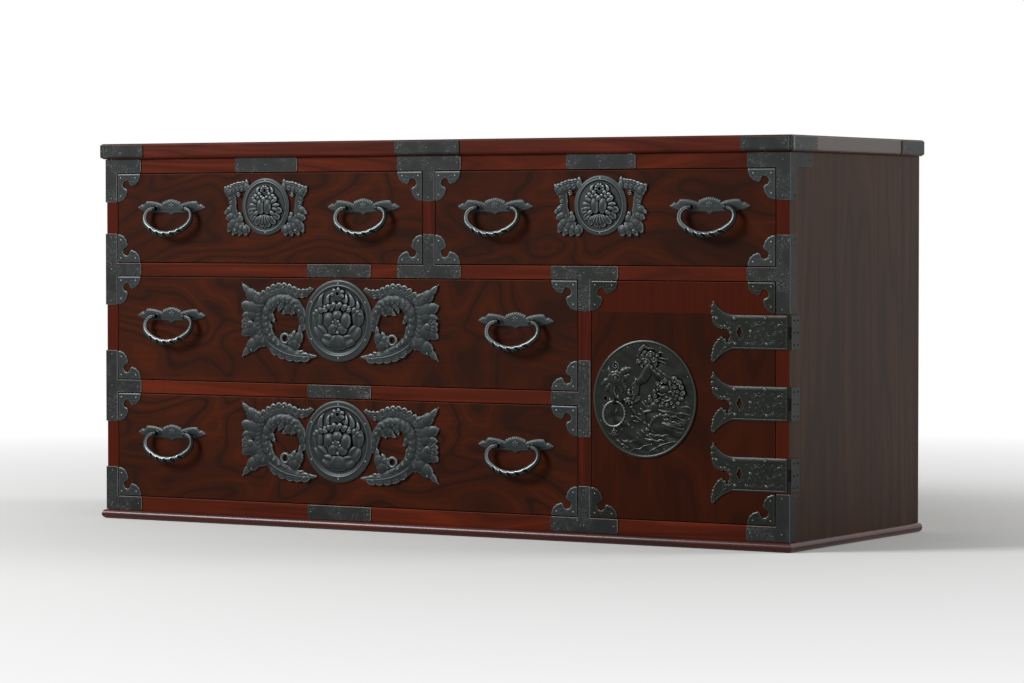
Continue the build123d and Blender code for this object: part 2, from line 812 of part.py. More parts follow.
# ---------------------------------------------------------------- handles
def handle_outline():
    """The winged outline of a handle's back plate, about its pivot line."""
    half = handle_plate_half_width
    peak = (0, handle_plate_rise)
    pendant = (0, -handle_plate_drop)
    with BuildSketch() as plate:
        with BuildLine():
            for sign in (-1, 1):
                tip = (sign * half, 0.02 * half)
                shoulder = (sign * 0.86 * half, 0.1 * half)
                crest = (sign * 0.74 * half, 0.17 * half)
                dip = (sign * 0.28 * half, 0.1 * half)
                heel = (sign * 0.8 * half, -0.07 * half)
                ThreePointArc(tip, (sign * 0.93 * half, 0.07 * half), shoulder)
                Line(shoulder, crest)
                ThreePointArc(crest, (sign * 0.6 * half, 0.165 * half), dip)
                ThreePointArc(dip, (sign * 0.13 * half, 0.19 * half), peak)
                ThreePointArc(tip, (sign * 0.9 * half, -0.04 * half), heel)
                Line(heel, (sign * 0.1 * half, -0.11 * half))
                Line((sign * 0.1 * half, -0.11 * half), pendant)
        make_face()
    return plate.sketch


handle_face = handle_outline()
pivot_y = front_y - pivot_stand_off


def handle_fittings(x_mid, z_pivot):
    """A back plate and its two bail eyes, which pass through the plate into the wood."""
    plane = front_at(x_mid, z_pivot)
    with BuildPart() as plate:
        with BuildSketch(plane):
            add(handle_face)
        extrude(amount=handle_plate_thickness)
        for sign in (-1, 1):
            eye_at = front_at(x_mid + sign * eye_half_spacing, z_pivot, handle_plate_thickness)
            pierce([eye_at], eye_shank_radius + nail_clearance, 3 * handle_plate_thickness)
    solids = [plate.part]
    for sign in (-1, 1):
        x = x_mid + sign * eye_half_spacing
        with BuildPart() as eye:
            with Locations((x, pivot_y, z_pivot)):
                Cylinder(eye_radius, eye_width, rotation=(0, 90, 0))
            with Locations(Plane(origin=(x, pivot_y, z_pivot), x_dir=(1, 0, 0), z_dir=(0, 1, 0))):
                shank = pivot_stand_off + nail_length
                Cylinder(eye_shank_radius, shank, align=(Align.CENTER, Align.CENTER, Align.MIN))
            with Locations((x, pivot_y, z_pivot)):
                Cylinder(bail_pin_radius + pivot_clearance, 3 * eye_width, rotation=(0, 90, 0), mode=Mode.SUBTRACT)
        solids.append(eye.part)
    return solids


def bail_shape():
    """A bracken-shaped drop handle on Plane.XY, hanging from pins on the X axis."""
    start = eye_half_spacing + eye_width / 2 + eye_gap
    corner = radians(bail_corner_turn)
    shoulder = bail_half_width - start
    fall = bail_drop - shoulder
    grip_radius = (bail_half_width - fall * (1 - cos(corner)) / sin(corner)) / (
        cos(corner) - (1 - sin(corner)) * (1 - cos(corner)) / sin(corner)
    )
    corner_radius = (fall - grip_radius * (1 - sin(corner))) / sin(corner)
    turns = [
        (shoulder, 90),
        (corner_radius, bail_corner_turn),
        (grip_radius, 180 - 2 * bail_corner_turn),
        (corner_radius, bail_corner_turn),
        (shoulder, 90),
    ]
    with BuildPart() as drop:
        with BuildLine() as path:
            at, heading = (start, 0), (1, 0)
            for radius, turn in turns:
                arc = JernArc(at, heading, radius, -turn)
                at, heading = arc @ 1, arc % 1
        with BuildSketch(Plane(origin=(start, 0, 0), z_dir=(1, 0, 0))):
            Circle(bail_radius)
        sweep(path=path.line)
        pin_length = eye_width + 3 * eye_gap + eye_gap
        for sign in (-1, 1):
            with Locations((sign * (start + eye_gap - pin_length / 2), 0, 0)):
                Cylinder(bail_pin_radius, pin_length, rotation=(0, 90, 0))
    return drop.part


hanging_bail = bail_shape()


def bail(x_mid, z_pivot):
    """The drop handle in its eyes, leaning forward."""
    lean = atan2(bail_swell, bail_drop)
    plane = Plane(origin=(x_mid, pivot_y, z_pivot), x_dir=(1, 0, 0), z_dir=(0, -cos(lean), sin(lean)))
    return plane.location * hanging_bail


# ---------------------------------------------------------------- locks
def keyhole_through(x, z, depth):
    """A key hole into the part being built, from the wood's surface inwards."""
    pierce([front_at(x, z)], keyhole_radius, depth)


def drawer_lock(x_mid, front_top, case_mid_z, keyhole_z):
    """A mortised lock case and the bolt that rises from it through the drawer's top edge."""
    case_z = about(case_mid_z, lock_case_height)
    bolt_x = about(x_mid, bolt_width)
    with BuildPart() as case:
        block(about(x_mid, lock_case_width), lock_y, case_z)
        cavity_z = (case_mid_z - bolt_clearance, case_z[1])
        block(inside(bolt_x, -bolt_clearance), inside(bolt_y, -bolt_clearance), cavity_z, Mode.SUBTRACT)
        keyhole_through(x_mid, keyhole_z, bolt_y[0] - front_y)
    with BuildPart() as bolt:
        block(bolt_x, bolt_y, (case_mid_z, front_top - running_gap))
    return case.part, bolt.part


# ---------------------------------------------------------------- drawers
def build_drawer(name, opening_x, opening_z, big_lock):
    """Every sub-part of one drawer, closed."""
    x = inside(opening_x, panel_gap)
    z = inside(opening_z, panel_gap)
    x_mid = middle(x)
    radius = big_lock_radius if big_lock else small_lock_radius
    span = big_wing_span if big_lock else small_wing_span
    lock_z = middle(opening_z) + (lock_rise_long if big_lock else lock_rise_top)
    pivot_z = middle(opening_z) + (long_handle_rise if big_lock else top_handle_rise)
    irons, iron_planes = corner_irons(x, z)
    keyhole_rise = big_keyhole_rise if big_lock else small_keyhole_rise
    plate, plate_planes = lock_plate(x_mid, lock_z, radius, span, keyhole_rise)
    case_mid_z = z[1] - lock_case_drop - lock_case_height / 2
    case, bolt = drawer_lock(x_mid, z[1], case_mid_z, lock_z + keyhole_rise)
    handle_x = (x[0] + handle_inset, x[1] - handle_inset)
    runner_z = opening_z[0] + running_gap
    box_top = z[1] - box_top_drop
    floor_z = (runner_z + bottom_lift, runner_z + bottom_lift + bottom_thickness)
    front_back_y = front_y + front_thickness

    with BuildPart() as front:
        block(x, (front_y, front_back_y), z)
        fillet(front.faces().sort_by(Axis.Y)[0].edges(), edge_round)
        for side_x in ((x[0], x[0] + box_thickness), (x[1] - box_thickness, x[1])):
            block(side_x, (front_back_y - rabbet_depth, front_back_y), z, Mode.SUBTRACT)
        groove_y = (front_back_y - groove_depth, front_back_y)
        block(x, groove_y, floor_z, Mode.SUBTRACT)
        pocket_x = about(x_mid, lock_case_width + 2 * pocket_clearance)
        pocket_z = about(case_mid_z, lock_case_height + 2 * pocket_clearance)
        block(pocket_x, (lock_y[0] - pocket_clearance, lock_y[1]), pocket_z, Mode.SUBTRACT)
        slot_x = about(x_mid, bolt_width + 2 * bolt_clearance)
        block(slot_x, inside(bolt_y, -bolt_clearance), (case_mid_z, z[1]), Mode.SUBTRACT)
        keyhole_through(x_mid, lock_z + keyhole_rise, front_thickness)
        wood_nail_holes(iron_planes, iron_thickness)
        wood_nail_holes(plate_planes, lock_plate_thickness)
        eyes = [front_at(hx + s * eye_half_spacing, pivot_z) for hx in handle_x for s in (-1, 1)]
        pierce(eyes, eye_shank_radius + nail_clearance, nail_length + nail_clearance)

    box = []
    for side_x, groove_x in (
        ((x[0], x[0] + box_thickness), (x[0] + box_thickness - groove_depth, x[0] + box_thickness)),
        ((x[1] - box_thickness, x[1]), (x[1] - box_thickness, x[1] - box_thickness + groove_depth)),
    ):
        with BuildPart() as side:
            block(side_x, (front_back_y - rabbet_depth, drawer_back_y), (runner_z, box_top))
            block(groove_x, (front_back_y - rabbet_depth, drawer_back_y), floor_z, Mode.SUBTRACT)
        box.append(side.part)
    with BuildPart() as back:
        back_y_span = (drawer_back_y - box_thickness, drawer_back_y)
        block(inside(x, box_thickness), back_y_span, (floor_z[1], box_top))
    box.append(back.part)
    with BuildPart() as floor:
        block(inside(x, box_thickness - groove_depth), (front_back_y - groove_depth, drawer_back_y), floor_z)
    box.append(floor.part)

    save(front.part, f"{name}_drawer_front")
    save(group(box), f"{name}_drawer_box")
    save(group(irons), f"{name}_corner_irons")
    save(group(plate), f"{name}_lock_plate")
    save(group(s for hx in handle_x for s in handle_fittings(hx, pivot_z)), f"{name}_handle_plates")
    save(case, f"{name}_lock_case")
    save(bolt, f"{name}_lock_bolt")
    save(bail(handle_x[0], pivot_z), f"{name}_left_bail")
    save(bail(handle_x[1], pivot_z), f"{name}_right_bail")


for drawer_name, (span_x, span_z, has_big_lock) in drawers.items():
    build_drawer(drawer_name, span_x, span_z, has_big_lock)

# ---------------------------------------------------------------- door panel and its lock
case_x = (leaf_x[0] + door_case_margin, leaf_x[0] + door_case_margin + lock_case_height)
case_z = about(door_bolt_z, lock_case_width)
door_bolt_span_z = about(door_bolt_z, bolt_width)
door_bolt_x = (leaf_x[0] + running_gap, middle(case_x))

door_irons, door_iron_planes = corner_irons(leaf_x, leaf_z)
medallion_turns = (20, 65, 110, 155, 205, 245, 300, 340)
medallion_nail_radius = medallion_radius - nail_inset
medallion_planes = [
    front_at(
        medallion_x + medallion_nail_radius * sin(radians(turn)),
        medallion_z + medallion_nail_radius * cos(radians(turn)),
        medallion_thickness,
    )
    for turn in medallion_turns
]

with BuildPart() as door_panel:
    block(leaf_x, (front_y, front_y + front_thickness), leaf_z)
    fillet(door_panel.faces().sort_by(Axis.Y)[0].edges(), edge_round)
    pocket_x = inside(case_x, -pocket_clearance)
    pocket_z = inside(case_z, -pocket_clearance)
    block(pocket_x, (lock_y[0] - pocket_clearance, lock_y[1]), pocket_z, Mode.SUBTRACT)
    slot_z = inside(door_bolt_span_z, -bolt_clearance)
    block((leaf_x[0], case_x[0]), inside(bolt_y, -bolt_clearance), slot_z, Mode.SUBTRACT)
    keyhole_through(door_keyhole_x, door_bolt_z, front_thickness)
    wood_nail_holes(door_iron_planes, iron_thickness)
    wood_nail_holes(medallion_planes, medallion_thickness)
    wood_nail_holes(planes_over(strap_planes, leaf_x, leaf_z), strap_thickness)
    pierce([front_at(*ring_at)], ring_post_radius + nail_clearance, nail_length + nail_clearance)
save(door_panel.part, "door_panel")
save(group(door_irons), "door_corner_irons")

with BuildPart() as door_lock_case:
    block(case_x, lock_y, case_z)
    cavity_x = (case_x[0], door_bolt_x[1] + bolt_clearance)
    block(cavity_x, inside(bolt_y, -bolt_clearance), slot_z, Mode.SUBTRACT)
    keyhole_through(door_keyhole_x, door_bolt_z, bolt_y[0] - front_y)
save(door_lock_case.part, "door_lock_case")

with BuildPart() as door_lock_bolt:
    block(door_bolt_x, bolt_y, door_bolt_span_z)
save(door_lock_bolt.part, "door_lock_bolt")

# ---------------------------------------------------------------- medallion and ring pull
ring_y = front_y - ring_stand_off
ring_hole_radius = ring_wire_radius + ring_clearance
ring_pivot = (ring_at[0], ring_y, ring_at[1])
ring_post_plane = front_at(*ring_at, ring_stand_off)

with BuildPart() as medallion:
    disc = domed_disc(medallion_radius, medallion_thickness, medallion_rim, medallion_relief)
    add(front_at(medallion_x, medallion_z).location * disc)
    with Locations(front_at(door_keyhole_x, door_bolt_z)):
        Cylinder(keyhole_radius, 4 * medallion_relief, mode=Mode.SUBTRACT)
    pierce(medallion_planes, nail_hole_radius, 3 * medallion_thickness)
    pierce([ring_post_plane], ring_post_radius + nail_clearance, 2 * ring_stand_off)

with BuildPart() as ring_eye:
    with Locations(ring_pivot):
        Cylinder(ring_hole_radius + ring_eye_wall, ring_eye_width, rotation=(0, 90, 0))
    with Locations(Plane(origin=ring_pivot, x_dir=(1, 0, 0), z_dir=(0, 1, 0))):
        post_length = ring_stand_off + nail_length
        Cylinder(ring_post_radius, post_length, align=(Align.CENTER, Align.CENTER, Align.MIN))
    with Locations(ring_pivot):
        Cylinder(ring_hole_radius, 2 * ring_eye_width, rotation=(0, 90, 0), mode=Mode.SUBTRACT)
save(group([medallion.part, ring_eye.part, *nails_at(medallion_planes)]), "door_medallion")

with BuildPart() as door_ring:
    lean = radians(ring_lean)
    ring_centre = (ring_at[0], ring_y - ring_radius * sin(lean), ring_at[1] - ring_radius * cos(lean))
    with Locations(Plane(origin=ring_centre, x_dir=(1, 0, 0), z_dir=(0, -cos(lean), sin(lean)))):
        Torus(ring_radius, ring_wire_radius)
save(door_ring.part, "door_ring")


# ---------------------------------------------------------------- strap hinges
def fork_point(along, up):
    """A point of the fork: shares of its depth from the horn tips, and of its half height."""
    return (right_x - strap_length + along * strap_fork_depth, up * strap_fork_half)


def strap_outline():
    """The forked strap about its own level, from the hinge to its two horn tips."""
    half = strap_height / 2
    shoulder_x = fork_point(1.15, 0)[0]
    arcs = [
        [(shoulder_x, half), fork_point(0.65, 0.63), fork_point(0.08, 0.99)],
        [fork_point(0.08, 0.99), fork_point(0, 0.73), fork_point(0.065, 0.44)],
        [fork_point(0.065, 0.44), fork_point(0.22, 0.235), fork_point(0.48, 0.155)],
        [fork_point(0.48, 0.155), fork_point(0.82, 0.125), fork_point(1, -0.045)],
        [fork_point(1, -0.045), fork_point(0.91, -0.245), fork_point(0.74, -0.4)],
        [fork_point(0.74, -0.4), fork_point(0.63, -0.29), fork_point(0.48, -0.22)],
        [fork_point(0.48, -0.22), fork_point(0.19, -0.42), fork_point(0.065, -0.71)],
        [fork_point(0.065, -0.71), fork_point(0.02, -0.87), fork_point(0.08, -0.99)],
        [fork_point(0.08, -0.99), fork_point(0.65, -0.67), (shoulder_x, -half)],
    ]
    with BuildSketch() as face:
        with BuildLine():
            Line((hinge_x, half), arcs[0][0])
            for start, through, end in arcs:
                ThreePointArc(start, through, end)
            Line(arcs[-1][2], (hinge_x, -half))
            Line((hinge_x, -half), (hinge_x, half))
        make_face()
        with Locations((right_x - strap_eyelet_inset, 0)):
            Circle(strap_eyelet_radius, mode=Mode.SUBTRACT)
    return face.sketch


strap_face = strap_outline()
knuckle_height = strap_height / 3
cut_radius = knuckle_radius + 2 * knuckle_gap


def on_hinge(z, radius, mode=Mode.ADD):
    """A cylinder on the hinge line between two levels, in the part being built."""
    with Locations((hinge_x, hinge_y, middle(z))):
        Cylinder(radius, z[1] - z[0], mode=mode)


def hinge_pieces(level):
    """One hinge: the solids on the door, then those on the side panel."""
    strap_z = about(level, strap_height)
    inner_z = about(level, knuckle_height)
    pin_z = inside(strap_z, -knuckle_gap)
    own = [p for p in strap_planes if abs(p.origin.Z - level) < strap_height / 2]
    with BuildPart() as front_leaf:
        with BuildSketch(front_at(0, level)):
            add(strap_face)
        extrude(amount=strap_thickness)
        on_hinge(inside(inner_z, -knuckle_gap), cut_radius, Mode.SUBTRACT)
        on_hinge((strap_z[0], inner_z[0] - knuckle_gap), knuckle_radius)
        on_hinge((inner_z[1] + knuckle_gap, strap_z[1]), knuckle_radius)
        on_hinge(pin_z, hinge_pin_radius + pivot_clearance, Mode.SUBTRACT)
        pierce(own, nail_hole_radius, 3 * strap_thickness)
    wing = [p for p in leaf_planes if abs(p.origin.Z - level) < strap_height / 2]
    with BuildPart() as side_leaf:
        block((right_x, right_x + strap_thickness), (hinge_y, front_y + leaf_width), strap_z)
        on_hinge((pin_z[0], inner_z[0]), cut_radius, Mode.SUBTRACT)
        on_hinge((inner_z[1], pin_z[1]), cut_radius, Mode.SUBTRACT)
        on_hinge(inner_z, knuckle_radius)
        on_hinge(pin_z, hinge_pin_radius, Mode.SUBTRACT)
        pierce(wing, nail_hole_radius, 3 * strap_thickness)
    with BuildPart() as pin:
        on_hinge(strap_z, hinge_pin_radius)
    return [front_leaf.part, *nails_at(own)], [side_leaf.part, pin.part, *nails_at(wing)]


hinges = [hinge_pieces(level) for level in strap_levels]
save(group(solid for on_door, _ in hinges for solid in on_door), "door_strap_hinges")
save(group(solid for _, on_side in hinges for solid in on_side), "hinge_side_leaves")
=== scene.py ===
"""Looks of a low clothing chest: lacquered zelkova with embossed, blackened iron mounts.

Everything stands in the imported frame, in metres: +Z up, the front faces -Y, the floor is z = 0.
Ironwork is drawn in millimetres on flat sheets, u to the right and v up, and set on the front.
"""
import functools
import json
import math

import bmesh
import bpy
import numpy as np
from mathutils import Matrix, Vector


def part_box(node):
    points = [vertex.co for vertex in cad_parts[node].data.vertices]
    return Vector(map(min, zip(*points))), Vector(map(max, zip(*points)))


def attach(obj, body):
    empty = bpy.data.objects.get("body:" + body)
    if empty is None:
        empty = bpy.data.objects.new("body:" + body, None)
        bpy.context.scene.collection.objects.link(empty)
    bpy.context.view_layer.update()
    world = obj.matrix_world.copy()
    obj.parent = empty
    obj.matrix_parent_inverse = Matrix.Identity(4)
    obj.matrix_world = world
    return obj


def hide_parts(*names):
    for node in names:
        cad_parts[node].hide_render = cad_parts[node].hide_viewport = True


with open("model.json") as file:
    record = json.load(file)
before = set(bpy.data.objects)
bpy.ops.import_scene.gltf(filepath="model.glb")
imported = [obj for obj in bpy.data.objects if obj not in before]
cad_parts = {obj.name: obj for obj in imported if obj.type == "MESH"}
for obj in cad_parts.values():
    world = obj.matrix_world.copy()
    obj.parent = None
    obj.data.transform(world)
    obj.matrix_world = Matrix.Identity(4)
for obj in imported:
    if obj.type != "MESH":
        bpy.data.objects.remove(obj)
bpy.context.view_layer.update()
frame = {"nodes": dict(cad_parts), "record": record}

MM = 0.001  # sizes and places are in millimetres, unless a comment says metres
X, Y, Z = range(3)
DRAWERS = {"top_left": False, "top_right": False, "middle": True, "lower": True}  # name: has the large lock
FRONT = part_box("middle_drawer_front")[0][Y] / MM  # the wood's front face
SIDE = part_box("side_panel_right")[1][X] / MM  # the chest's side
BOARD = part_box("top_board")[1][X] / MM, -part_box("top_board")[0][Y] / MM  # the top board's end and front
IRON, BAND = 1.6, 1.2  # how far the frame's irons and the top board's bands stand out
LEAF, PLATE, WING, BACK, STRAP = 1.1, 1.6, 0.8, 1.2, 1.3  # how thick the sheet of each mount is
joint_at = {
    joint["name"]: np.array(joint["pos_m"]) / MM
    for joint in frame["record"]["behaviour"]["joints"] if "pos_m" in joint
}


def centre(node):
    """The middle of a CAD node's front, x and z in millimetres."""
    low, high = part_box(node)
    return ((low[X] + high[X]) / 2 / MM, (low[Z] + high[Z]) / 2 / MM)


# ---------------------------------------------------------------- lines to draw along
def bend(a, b, c, count=12):
    """Points from a to c along a line that leans towards b."""
    t = np.linspace(0, 1, count)[:, None]
    return (1 - t) ** 2 * np.array(a) + 2 * t * (1 - t) * np.array(b) + t**2 * np.array(c)


def arc(middle, radii, start, end, count=16):
    """Points round a middle from one angle to another, the radius passing from the first to the last."""
    turns = np.radians(np.linspace(start, end, count))
    radius = np.linspace(radii[0], radii[-1], count)
    return np.column_stack([middle[0] + radius * np.cos(turns), middle[1] + radius * np.sin(turns)])


def through(a, b, c, count=8):
    """Points along the circular arc from a through b to c."""
    a, b, c = (np.array(p, float) for p in (a, b, c))
    across, up = b - a, c - a
    twice = 2 * (across[0] * up[1] - across[1] * up[0])
    middle = a + np.array(
        [up[1] * across @ across - across[1] * up @ up, across[0] * up @ up - up[0] * across @ across]
    ) / twice
    first, via, last = (math.atan2(*(p - middle)[::-1]) for p in (a, b, c))
    turn = (last - first) % math.tau
    if (via - first) % math.tau > turn:
        turn -= math.tau
    turns = first + np.linspace(0, turn, count)
    return middle + math.dist(a, middle) * np.column_stack([np.cos(turns), np.sin(turns)])


def beside(u, v, start, end):
    """How far along a segment points lie, from 0 to 1, and how far away from it."""
    step = end - start
    length = max(math.hypot(*step), 1e-6)
    share = ((u - start[0]) * step[0] + (v - start[1]) * step[1]) / length**2
    t = np.clip(share, 0, 1)
    return t, np.hypot(u - start[0] - t * step[0], v - start[1] - t * step[1])


# ---------------------------------------------------------------- drawing on a sheet of metal
class Sheet:
    """Points of a metal sheet: how far each lies inside the outline, and how far it stands proud."""

    def __init__(self, u, v):
        self.u, self.v = u, v
        self.reach = np.full(len(u), -9.0)
        self.rise = np.zeros(len(u))
        self.crown = 0.5  # how stems and petals are domed: 0.5 as a round bar, 1 as a soft swelling

    def near(self, points, margin):
        """Which points of the sheet lie round some points."""
        low, high = np.min(points, axis=0) - margin, np.max(points, axis=0) + margin
        in_u = (self.u > low[0]) & (self.u < high[0])
        return np.nonzero(in_u & (self.v > low[1]) & (self.v < high[1]))[0]

    def stem(self, points, halves, height, lift=0.0, vein=0.0, ribs=0.0, pitch=5.0, outline=True):
        """A rounded stem along points, its half width passing through halves, with a sunk vein or ribs."""
        points = np.asarray(points, float)
        halves = np.interp(np.linspace(0, 1, len(points)), np.linspace(0, 1, len(halves)), halves)
        near = self.near(points, halves.max() + 2)
        u, v = self.u[near], self.v[near]
        reach, rise, along = np.full(len(near), -9.0), np.zeros(len(near)), 0.0
        for start, end, half_0, half_1 in zip(points, points[1:], halves, halves[1:]):
            t, side = beside(u, v, start, end)
            length = math.dist(start, end)
            half = half_0 + t * (half_1 - half_0)
            dome = height * (half / halves.max()) ** 0.5 * (1 - np.clip(side / half, 0, 1) ** 2) ** self.crown
            if ribs:
                dome *= 1 - ribs * (0.5 + 0.5 * np.cos(math.tau * (along + t * length + 0.6 * side) / pitch))
            if vein:
                dome -= vein * np.exp(-((side / 0.7) ** 2))
            reach = np.maximum(reach, half - side)
            rise = np.maximum(rise, np.where(half > side, lift + dome, 0))
            along += length
        self.rise[near] = np.maximum(self.rise[near], rise)
        if outline:
            self.reach[near] = np.maximum(self.reach[near], reach)

    def leaf(self, base, lean, tip, half, height, teeth=3, lift=0.0, outline=True):
        """A pointed leaf with a toothed edge and a sunk vein."""
        t = np.linspace(0, 1, 19)
        edge = 0.78 + 0.44 * np.abs(np.sin(np.pi * teeth * t))
        halves = np.maximum(half * (np.minimum(1, 0.5 + 2.2 * t) * (1 - t**2.2) * edge), 0.35)
        self.stem(bend(base, lean, tip, 19), halves, height, lift, vein=0.35 * height, outline=outline)

    def petal(self, middle, length, width, turn, height, lift=0.0, ribs=0.0, outline=False):
        """A rounded petal turned by degrees, with ribs running along it."""
        near = self.near([middle], max(length, width) + 1)
        du, dv = self.u[near] - middle[0], self.v[near] - middle[1]
        cos, sin = math.cos(math.radians(turn)), math.sin(math.radians(turn))
        along, across = du * cos + dv * sin, dv * cos - du * sin
        edge = np.hypot(along / length, across / width)
        dome = height * np.clip(1 - edge**2.6, 0, 1) ** self.crown
        if ribs:
            fan = across / (1.3 * width + 0.7 * width * along / length)
            dome *= 1 - 0.28 * (0.5 + 0.5 * np.cos(math.tau * ribs * fan))
        self.rise[near] = np.maximum(self.rise[near], np.where(edge < 1, lift + dome, 0))
        if outline:
            self.reach[near] = np.maximum(self.reach[near], (1 - edge) * min(length, width))

    def fan(self, middle, radii, turns, length, width, height, lift, ribs=0.0, outline=False):
        """Petals on a ring, or on a part of one, that point away from its middle at some turns in degrees."""
        for turn in turns:
            t = math.radians(turn)
            at = (middle[0] + radii[0] * math.cos(t), middle[1] + radii[1] * math.sin(t))
            self.petal(at, length, width, turn, height, lift, ribs, outline)

    def beads(self, points, radius, height, lift=0.0, outline=False):
        """Small balls at some points."""
        for point in points:
            self.petal(point, radius, radius, 0, height, lift, outline=outline)

    def curl(self, middle, radius, start, height, turns=1.4, sense=1, lift=0.0, outline=False):
        """A small spiral lock that winds inwards."""
        points = arc(middle, (radius, 0.12 * radius), start, start + sense * 360 * turns, 22)
        half = 0.2 * radius
        self.stem(points, (half, half, 1.3 * half), height, lift, outline=outline)

    def groove(self, points, half, depth):
        """A line cut into the metal."""
        points = np.asarray(points, float)
        near = self.near(points, 3 * half)
        nearest = np.full(len(near), 9.0)
        for start, end in zip(points, points[1:]):
            nearest = np.minimum(nearest, beside(self.u[near], self.v[near], start, end)[1])
        self.rise[near] -= depth * np.exp(-((nearest / half) ** 2))

    def hole(self, middle, half_u, half_v):
        """An oval hole right through."""
        edge = np.hypot((self.u - middle[0]) / half_u, (self.v - middle[1]) / half_v)
        self.reach = np.minimum(self.reach, (edge - 1) * min(half_u, half_v))

    def beyond(self, radius):
        """Leaves only what lies outside the round plate."""
        self.reach = np.minimum(self.reach, np.hypot(self.u, self.v) - radius)

    def fill(self, corners):
        """A flat plate inside a closed outline."""
        corners = np.asarray(corners, float)
        nearest, inside = np.full(len(self.u), 1e9), np.zeros(len(self.u), bool)
        for a, b in zip(corners, np.roll(corners, -1, axis=0)):
            nearest = np.minimum(nearest, beside(self.u, self.v, a, b)[1])
            if a[1] != b[1]:
                crossing = (b[0] - a[0]) * (self.v - a[1]) / (b[1] - a[1]) + a[0]
                inside ^= ((a[1] > self.v) != (b[1] > self.v)) & (self.u < crossing)
        self.reach = np.maximum(self.reach, np.where(inside, nearest, -nearest))


# ---------------------------------------------------------------- making pieces
def face_outwards(bm, verts):
    """Turns the faces of the closed shell round some vertices outwards."""
    faces = list({f for v in verts if v.is_valid for f in v.link_faces})
    bmesh.ops.recalc_face_normals(bm, faces=faces)
    if sum(f.calc_center_median().dot(f.normal) * f.calc_area() for f in faces) < 0:
        bmesh.ops.reverse_faces(bm, faces=faces)


def light_and_wear_layer(bm):
    """The mesh's own record of how pale or dark each vertex is painted: above 0 on ridges, paler, partly wear
    and partly painted highlight, below in hollows, darker, partly soot and partly painted shade.
    """
    layers = bm.verts.layers.float
    return layers.get("wear_and_painted_light") or layers.new("wear_and_painted_light")


def spread(verts):
    """Where the vertices of a new grid lie, as shares of its two sides."""
    place = np.array([v.co[:2] for v in verts])
    return (place - place.min(axis=0)) / (place.max(axis=0) - place.min(axis=0))


def blurred(field, times):
    """A field of heights with its fine detail smoothed away."""
    for _ in range(times):
        padded = np.pad(field, 1, mode="edge")
        beside_u = padded[1:-1, :-2] + padded[1:-1, 2:]
        field = (padded[:-2, 1:-1] + padded[2:, 1:-1] + beside_u + field) / 5
    return field


@functools.cache
def sheet_mesh(draw, size, cell, thickness):
    """One embossed sheet about its own origin: a grid trimmed to its outline, raised and closed behind."""
    bm = bmesh.new()
    wear_and_painted_light = light_and_wear_layer(bm)
    wide, high = size[1] - size[0], size[3] - size[2]
    columns, rows = round(wide / cell), round(high / cell)
    made = bmesh.ops.create_grid(bm, x_segments=columns, y_segments=rows, size=0.5)["verts"]
    share = spread(made)
    place = share * [wide, high] + [size[0], size[2]]
    sheet = draw(Sheet(place[:, 0], place[:, 1]))
    column, row = np.rint(share * [columns, rows]).astype(int).T
    field = np.zeros((rows + 1, columns + 1))
    field[row, column] = sheet.rise
    # painted paler where it stands above its surroundings, partly wear and partly painted highlight, and
    # along the last 0.9 mm of the outline, a painted highlight on the edge
    ridge = (field - blurred(field, round(2.2 / cell**2)))[row, column]
    ridge += 0.4 * np.clip(1 - sheet.reach / 0.9, 0, 1)
    for vert, (u, v), up, high_spot in zip(made, place, sheet.rise, ridge):
        vert.co = (u, v, up)
        vert[wear_and_painted_light] = high_spot
    # trimmed to the outline, then until no point hangs by a corner or stands alone
    poor = [v for v, reach in zip(made, sheet.reach) if reach <= -0.45 * cell]
    while poor:
        gone = set(poor)
        made = [v for v in made if v not in gone]
        bmesh.ops.delete(bm, geom=poor, context="VERTS")
        poor = [v for v in made if not v.link_faces or sum(e.is_boundary for e in v.link_edges) > 2]
    # the trimmed edge is moved onto the drawn outline
    edge_verts = [v for v in made if any(e.is_boundary for e in v.link_edges)]
    spot = np.array([v.co[:2] for v in edge_verts])
    hair = 0.05
    for _ in range(3):
        reach, right, up = (draw(Sheet(*(spot + step).T)).reach for step in ([0, 0], [hair, 0], [0, hair]))
        slope = np.column_stack([right - reach, up - reach]) / hair
        move = slope * (reach / np.maximum((slope**2).sum(axis=1), 0.2))[:, None]
        spot -= np.clip(move, -0.5 * cell, 0.5 * cell)
    for vert, (u, v), up in zip(edge_verts, spot, draw(Sheet(*spot.T)).rise):
        vert.co = (u, v, up)
    # stood upright with its relief to the front, never thinner than 0.2 mm, and closed inside the wood
    for vert in made:
        u, v, up = vert.co
        vert.co = Vector((u, -thickness - max(up, 0.2 - thickness), v)) * MM
    rim = {e for v in edge_verts for e in v.link_edges if e.is_boundary}
    skirt = bmesh.ops.extrude_edge_only(bm, edges=list(rim))["geom"]
    for vert in (g for g in skirt if isinstance(g, bmesh.types.BMVert)):
        vert.co.y = 0.05 * MM
    bmesh.ops.triangle_fill(
        bm, use_beauty=True, use_dissolve=False, normal=(0, 1, 0),
        edges=[g for g in skirt if isinstance(g, bmesh.types.BMEdge) and g.is_boundary],
    )
    face_outwards(bm, bm.verts)
    mesh = bpy.data.meshes.new(draw.__name__)
    bm.to_mesh(mesh)
    bm.free()
    return mesh


def emboss(bm, draw, size, cell, thickness, at, flip=(1, 1)):
    """Adds an embossed sheet to a mesh, at some x and z on the wood, flipped left to right or upside down."""
    light_and_wear_layer(bm)
    before = set(bm.verts)
    bm.from_mesh(sheet_mesh(draw, size, cell, thickness))
    where = Matrix.Translation(Vector((at[0], FRONT, at[1])) * MM) @ Matrix.Diagonal((flip[0], 1, flip[1], 1))
    added = [v for v in bm.verts if v not in before]
    bmesh.ops.transform(bm, matrix=where, verts=added)
    if flip[0] * flip[1] < 0:
        bmesh.ops.reverse_faces(bm, faces=list({f for v in added for f in v.link_faces}))


